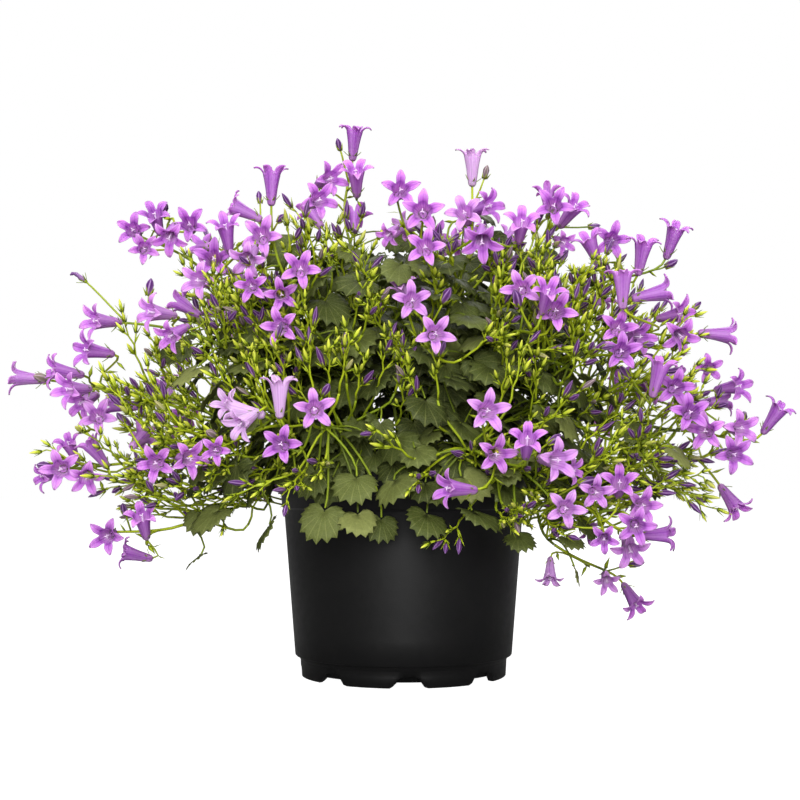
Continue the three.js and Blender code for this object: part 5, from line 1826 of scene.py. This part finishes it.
# Satin black plastic with faint moulding marks and a little dust
def pot_look():
    look = Look("pot_plastic", 0.4, Specular_IOR_Level=0.24)
    dust = look.times(look.math("POWER", look.noise(60, 6), 3.0), 0.25)
    look.colour(look.mix(dust, (0.04, 0.04, 0.042), (0.14, 0.13, 0.125)))
    rough = look.math("ADD", look.times(look.noise(220, 4), 0.16), 0.34)
    look.links.new(rough, look.shader.inputs["Roughness"])
    look.bump(look.noise(700, 4), 0.12, 0.0003)
    return look.material


def soil_look():
    look = Look("peat", 0.95, Specular_IOR_Level=0.15)
    stops = [(0.3, (0.1, 0.07, 0.05)), (0.55, (0.2, 0.14, 0.1)), (0.75, (0.34, 0.25, 0.18))]
    look.colour(look.ramp(look.noise(420, 6), stops))
    look.bump(look.noise(900, 6), 0.8, 0.0012)
    return look.material


MATERIALS = {
    "petal": petal_look(),
    "calyx": green_look("calyx", (0.42, 0.5, 0.08), (0.72, 0.79, 0.12), 0.55, 1500),
    "stalk": green_look("stalk", (0.48, 0.57, 0.08), (0.75, 0.81, 0.13), 0.5, 900),
    "stem": green_look("stem", (0.36, 0.42, 0.08), (0.6, 0.68, 0.1), 0.55, 500),
    "leaf": leaf_look(),
    "bud": bud_look(),
    "style": style_look(),
    "pot": pot_look(),
    "soil": soil_look(),
}


# The lights are [name, place, size, watts], in metres. The main one is over the camera, so that
# the pot has its highlight down its middle. All face one point.
LIGHTS = [
    ("key", (0.0, -1.8, 0.62), 1.0, 42),
    ("top", (-0.5, -0.5, 1.9), 1.2, 24),
    ("behind", (0.5, 1.7, 1.7), 1.4, 30),
]
LIT_POINT = Vector((0, 0, 0.2))
FLOOR_GLOW = 1.0
FLOOR_REACH = 6.0
SKY_SEEN = 1.0

# The backdrop's light: [share of the way from in front to behind, strength]
SKY_LIGHT = [(0, 0.37), (0.45, 0.1), (0.6, 0.03), (0.85, 0.04), (1, 0.2)]


# The studio: a pale floor that the camera sees as white, the backdrop and the lights
def studio():
    mesh = bpy.data.meshes.new("floor")
    corners = [(x * FLOOR_REACH, y * FLOOR_REACH, 0) for x, y in ((-1, -1), (1, -1), (1, 1), (-1, 1))]
    mesh.from_pydata(corners, [], [(0, 1, 2, 3)])
    floor = bpy.data.objects.new("floor", mesh)
    bpy.context.scene.collection.objects.link(floor)
    look = Look("floor", 0.9, Specular_IOR_Level=0.1)
    look.colour(look.mix(look.noise(3), (0.55, 0.55, 0.55), (0.59, 0.59, 0.59)))
    look.shader.inputs["Emission Color"].default_value = (1, 1, 1, 1)
    path = look.nodes.new("ShaderNodeLightPath")
    glow = look.times(path.outputs["Is Camera Ray"], FLOOR_GLOW)
    look.links.new(glow, look.shader.inputs["Emission Strength"])
    mesh.materials.append(look.material)
    floor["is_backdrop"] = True
    sky()
    for name, place, size, power in LIGHTS:
        light = bpy.data.lights.new(name, "AREA")
        light.size = size
        light.energy = power
        lamp = bpy.data.objects.new(name, light)
        lamp.location = place
        lamp.rotation_euler = (LIT_POINT - lamp.location).to_track_quat("-Z", "Y").to_euler()
        bpy.context.scene.collection.objects.link(lamp)


# A white backdrop that lights the plant less than it shows
def sky():
    world = bpy.data.worlds.new("studio")
    world.use_nodes = True
    nodes = world.node_tree.nodes
    links = world.node_tree.links
    seen = nodes["Background"]
    seen.inputs["Color"].default_value = (1, 1, 1, 1)
    seen.inputs["Strength"].default_value = SKY_SEEN
    cast = nodes.new("ShaderNodeBackground")
    cast.inputs["Color"].default_value = (1, 1, 1, 1)
    place = nodes.new("ShaderNodeTexCoord")
    parts = nodes.new("ShaderNodeSeparateXYZ")
    links.new(place.outputs["Generated"], parts.inputs["Vector"])
    share = nodes.new("ShaderNodeMapRange")
    share.inputs["From Min"].default_value = -1.0
    links.new(parts.outputs["Y"], share.inputs["Value"])
    fall = nodes.new("ShaderNodeValToRGB")
    set_stops(fall, [(spot, [strength] * 3) for spot, strength in SKY_LIGHT])
    links.new(share.outputs["Result"], fall.inputs["Fac"])
    links.new(fall.outputs["Color"], cast.inputs["Strength"])
    path = nodes.new("ShaderNodeLightPath")
    blend = nodes.new("ShaderNodeMixShader")
    links.new(path.outputs["Is Camera Ray"], blend.inputs["Fac"])
    links.new(cast.outputs["Background"], blend.inputs[1])
    links.new(seen.outputs["Background"], blend.inputs[2])
    links.new(blend.outputs["Shader"], nodes["World Output"].inputs["Surface"])
    bpy.context.scene.world = world


# The camera stands where the photograph was taken from
CAMERA_PITCH = 2.87
CAMERA_LENS = 64.5
CAMERA_SENSOR = 36


def camera():
    view = bpy.data.cameras.new("camera")
    view.lens = CAMERA_LENS
    view.sensor_width = CAMERA_SENSOR
    eye = bpy.data.objects.new("camera", view)
    eye.location = Vector(EYE * MM)
    eye.rotation_euler = (math.radians(90 + CAMERA_PITCH), 0, 0)
    bpy.context.scene.collection.objects.link(eye)
    bpy.context.scene.camera = eye


# The finished pieces, each in the place of the node that it makes finer
pot = pot_piece().object("pot_turned", MATERIALS)
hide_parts("pot")
soil = soil_piece().object("soil_crumbs", MATERIALS)
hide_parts("soil")
spots = Spots()
for shoot in shoots:
    shoot["twigs"] = []
    shoot["more_leaves"] = []
for spray in sprays.values():
    spray["withered"] = []
add_withered()
fill_twigs(spots)
fill_leaves(spots)
for index, spray in enumerate(sprays.values()):
    piece = spray_piece(index, spray).object("bells_" + spray["name"], MATERIALS)
    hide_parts("spray_" + spray["name"])
for index, shoot in enumerate(shoots):
    piece = shoot_piece(index, shoot).object("leafy_" + shoot["name"], MATERIALS)
    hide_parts("shoot_" + shoot["name"])

studio()
camera()
bpy.context.scene.view_settings.view_transform = "Standard"

box_of = lambda box: [list(map(float, corner)) for corner in box]
{"cad": box_of(CAD_BOX), "visual": box_of(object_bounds())}
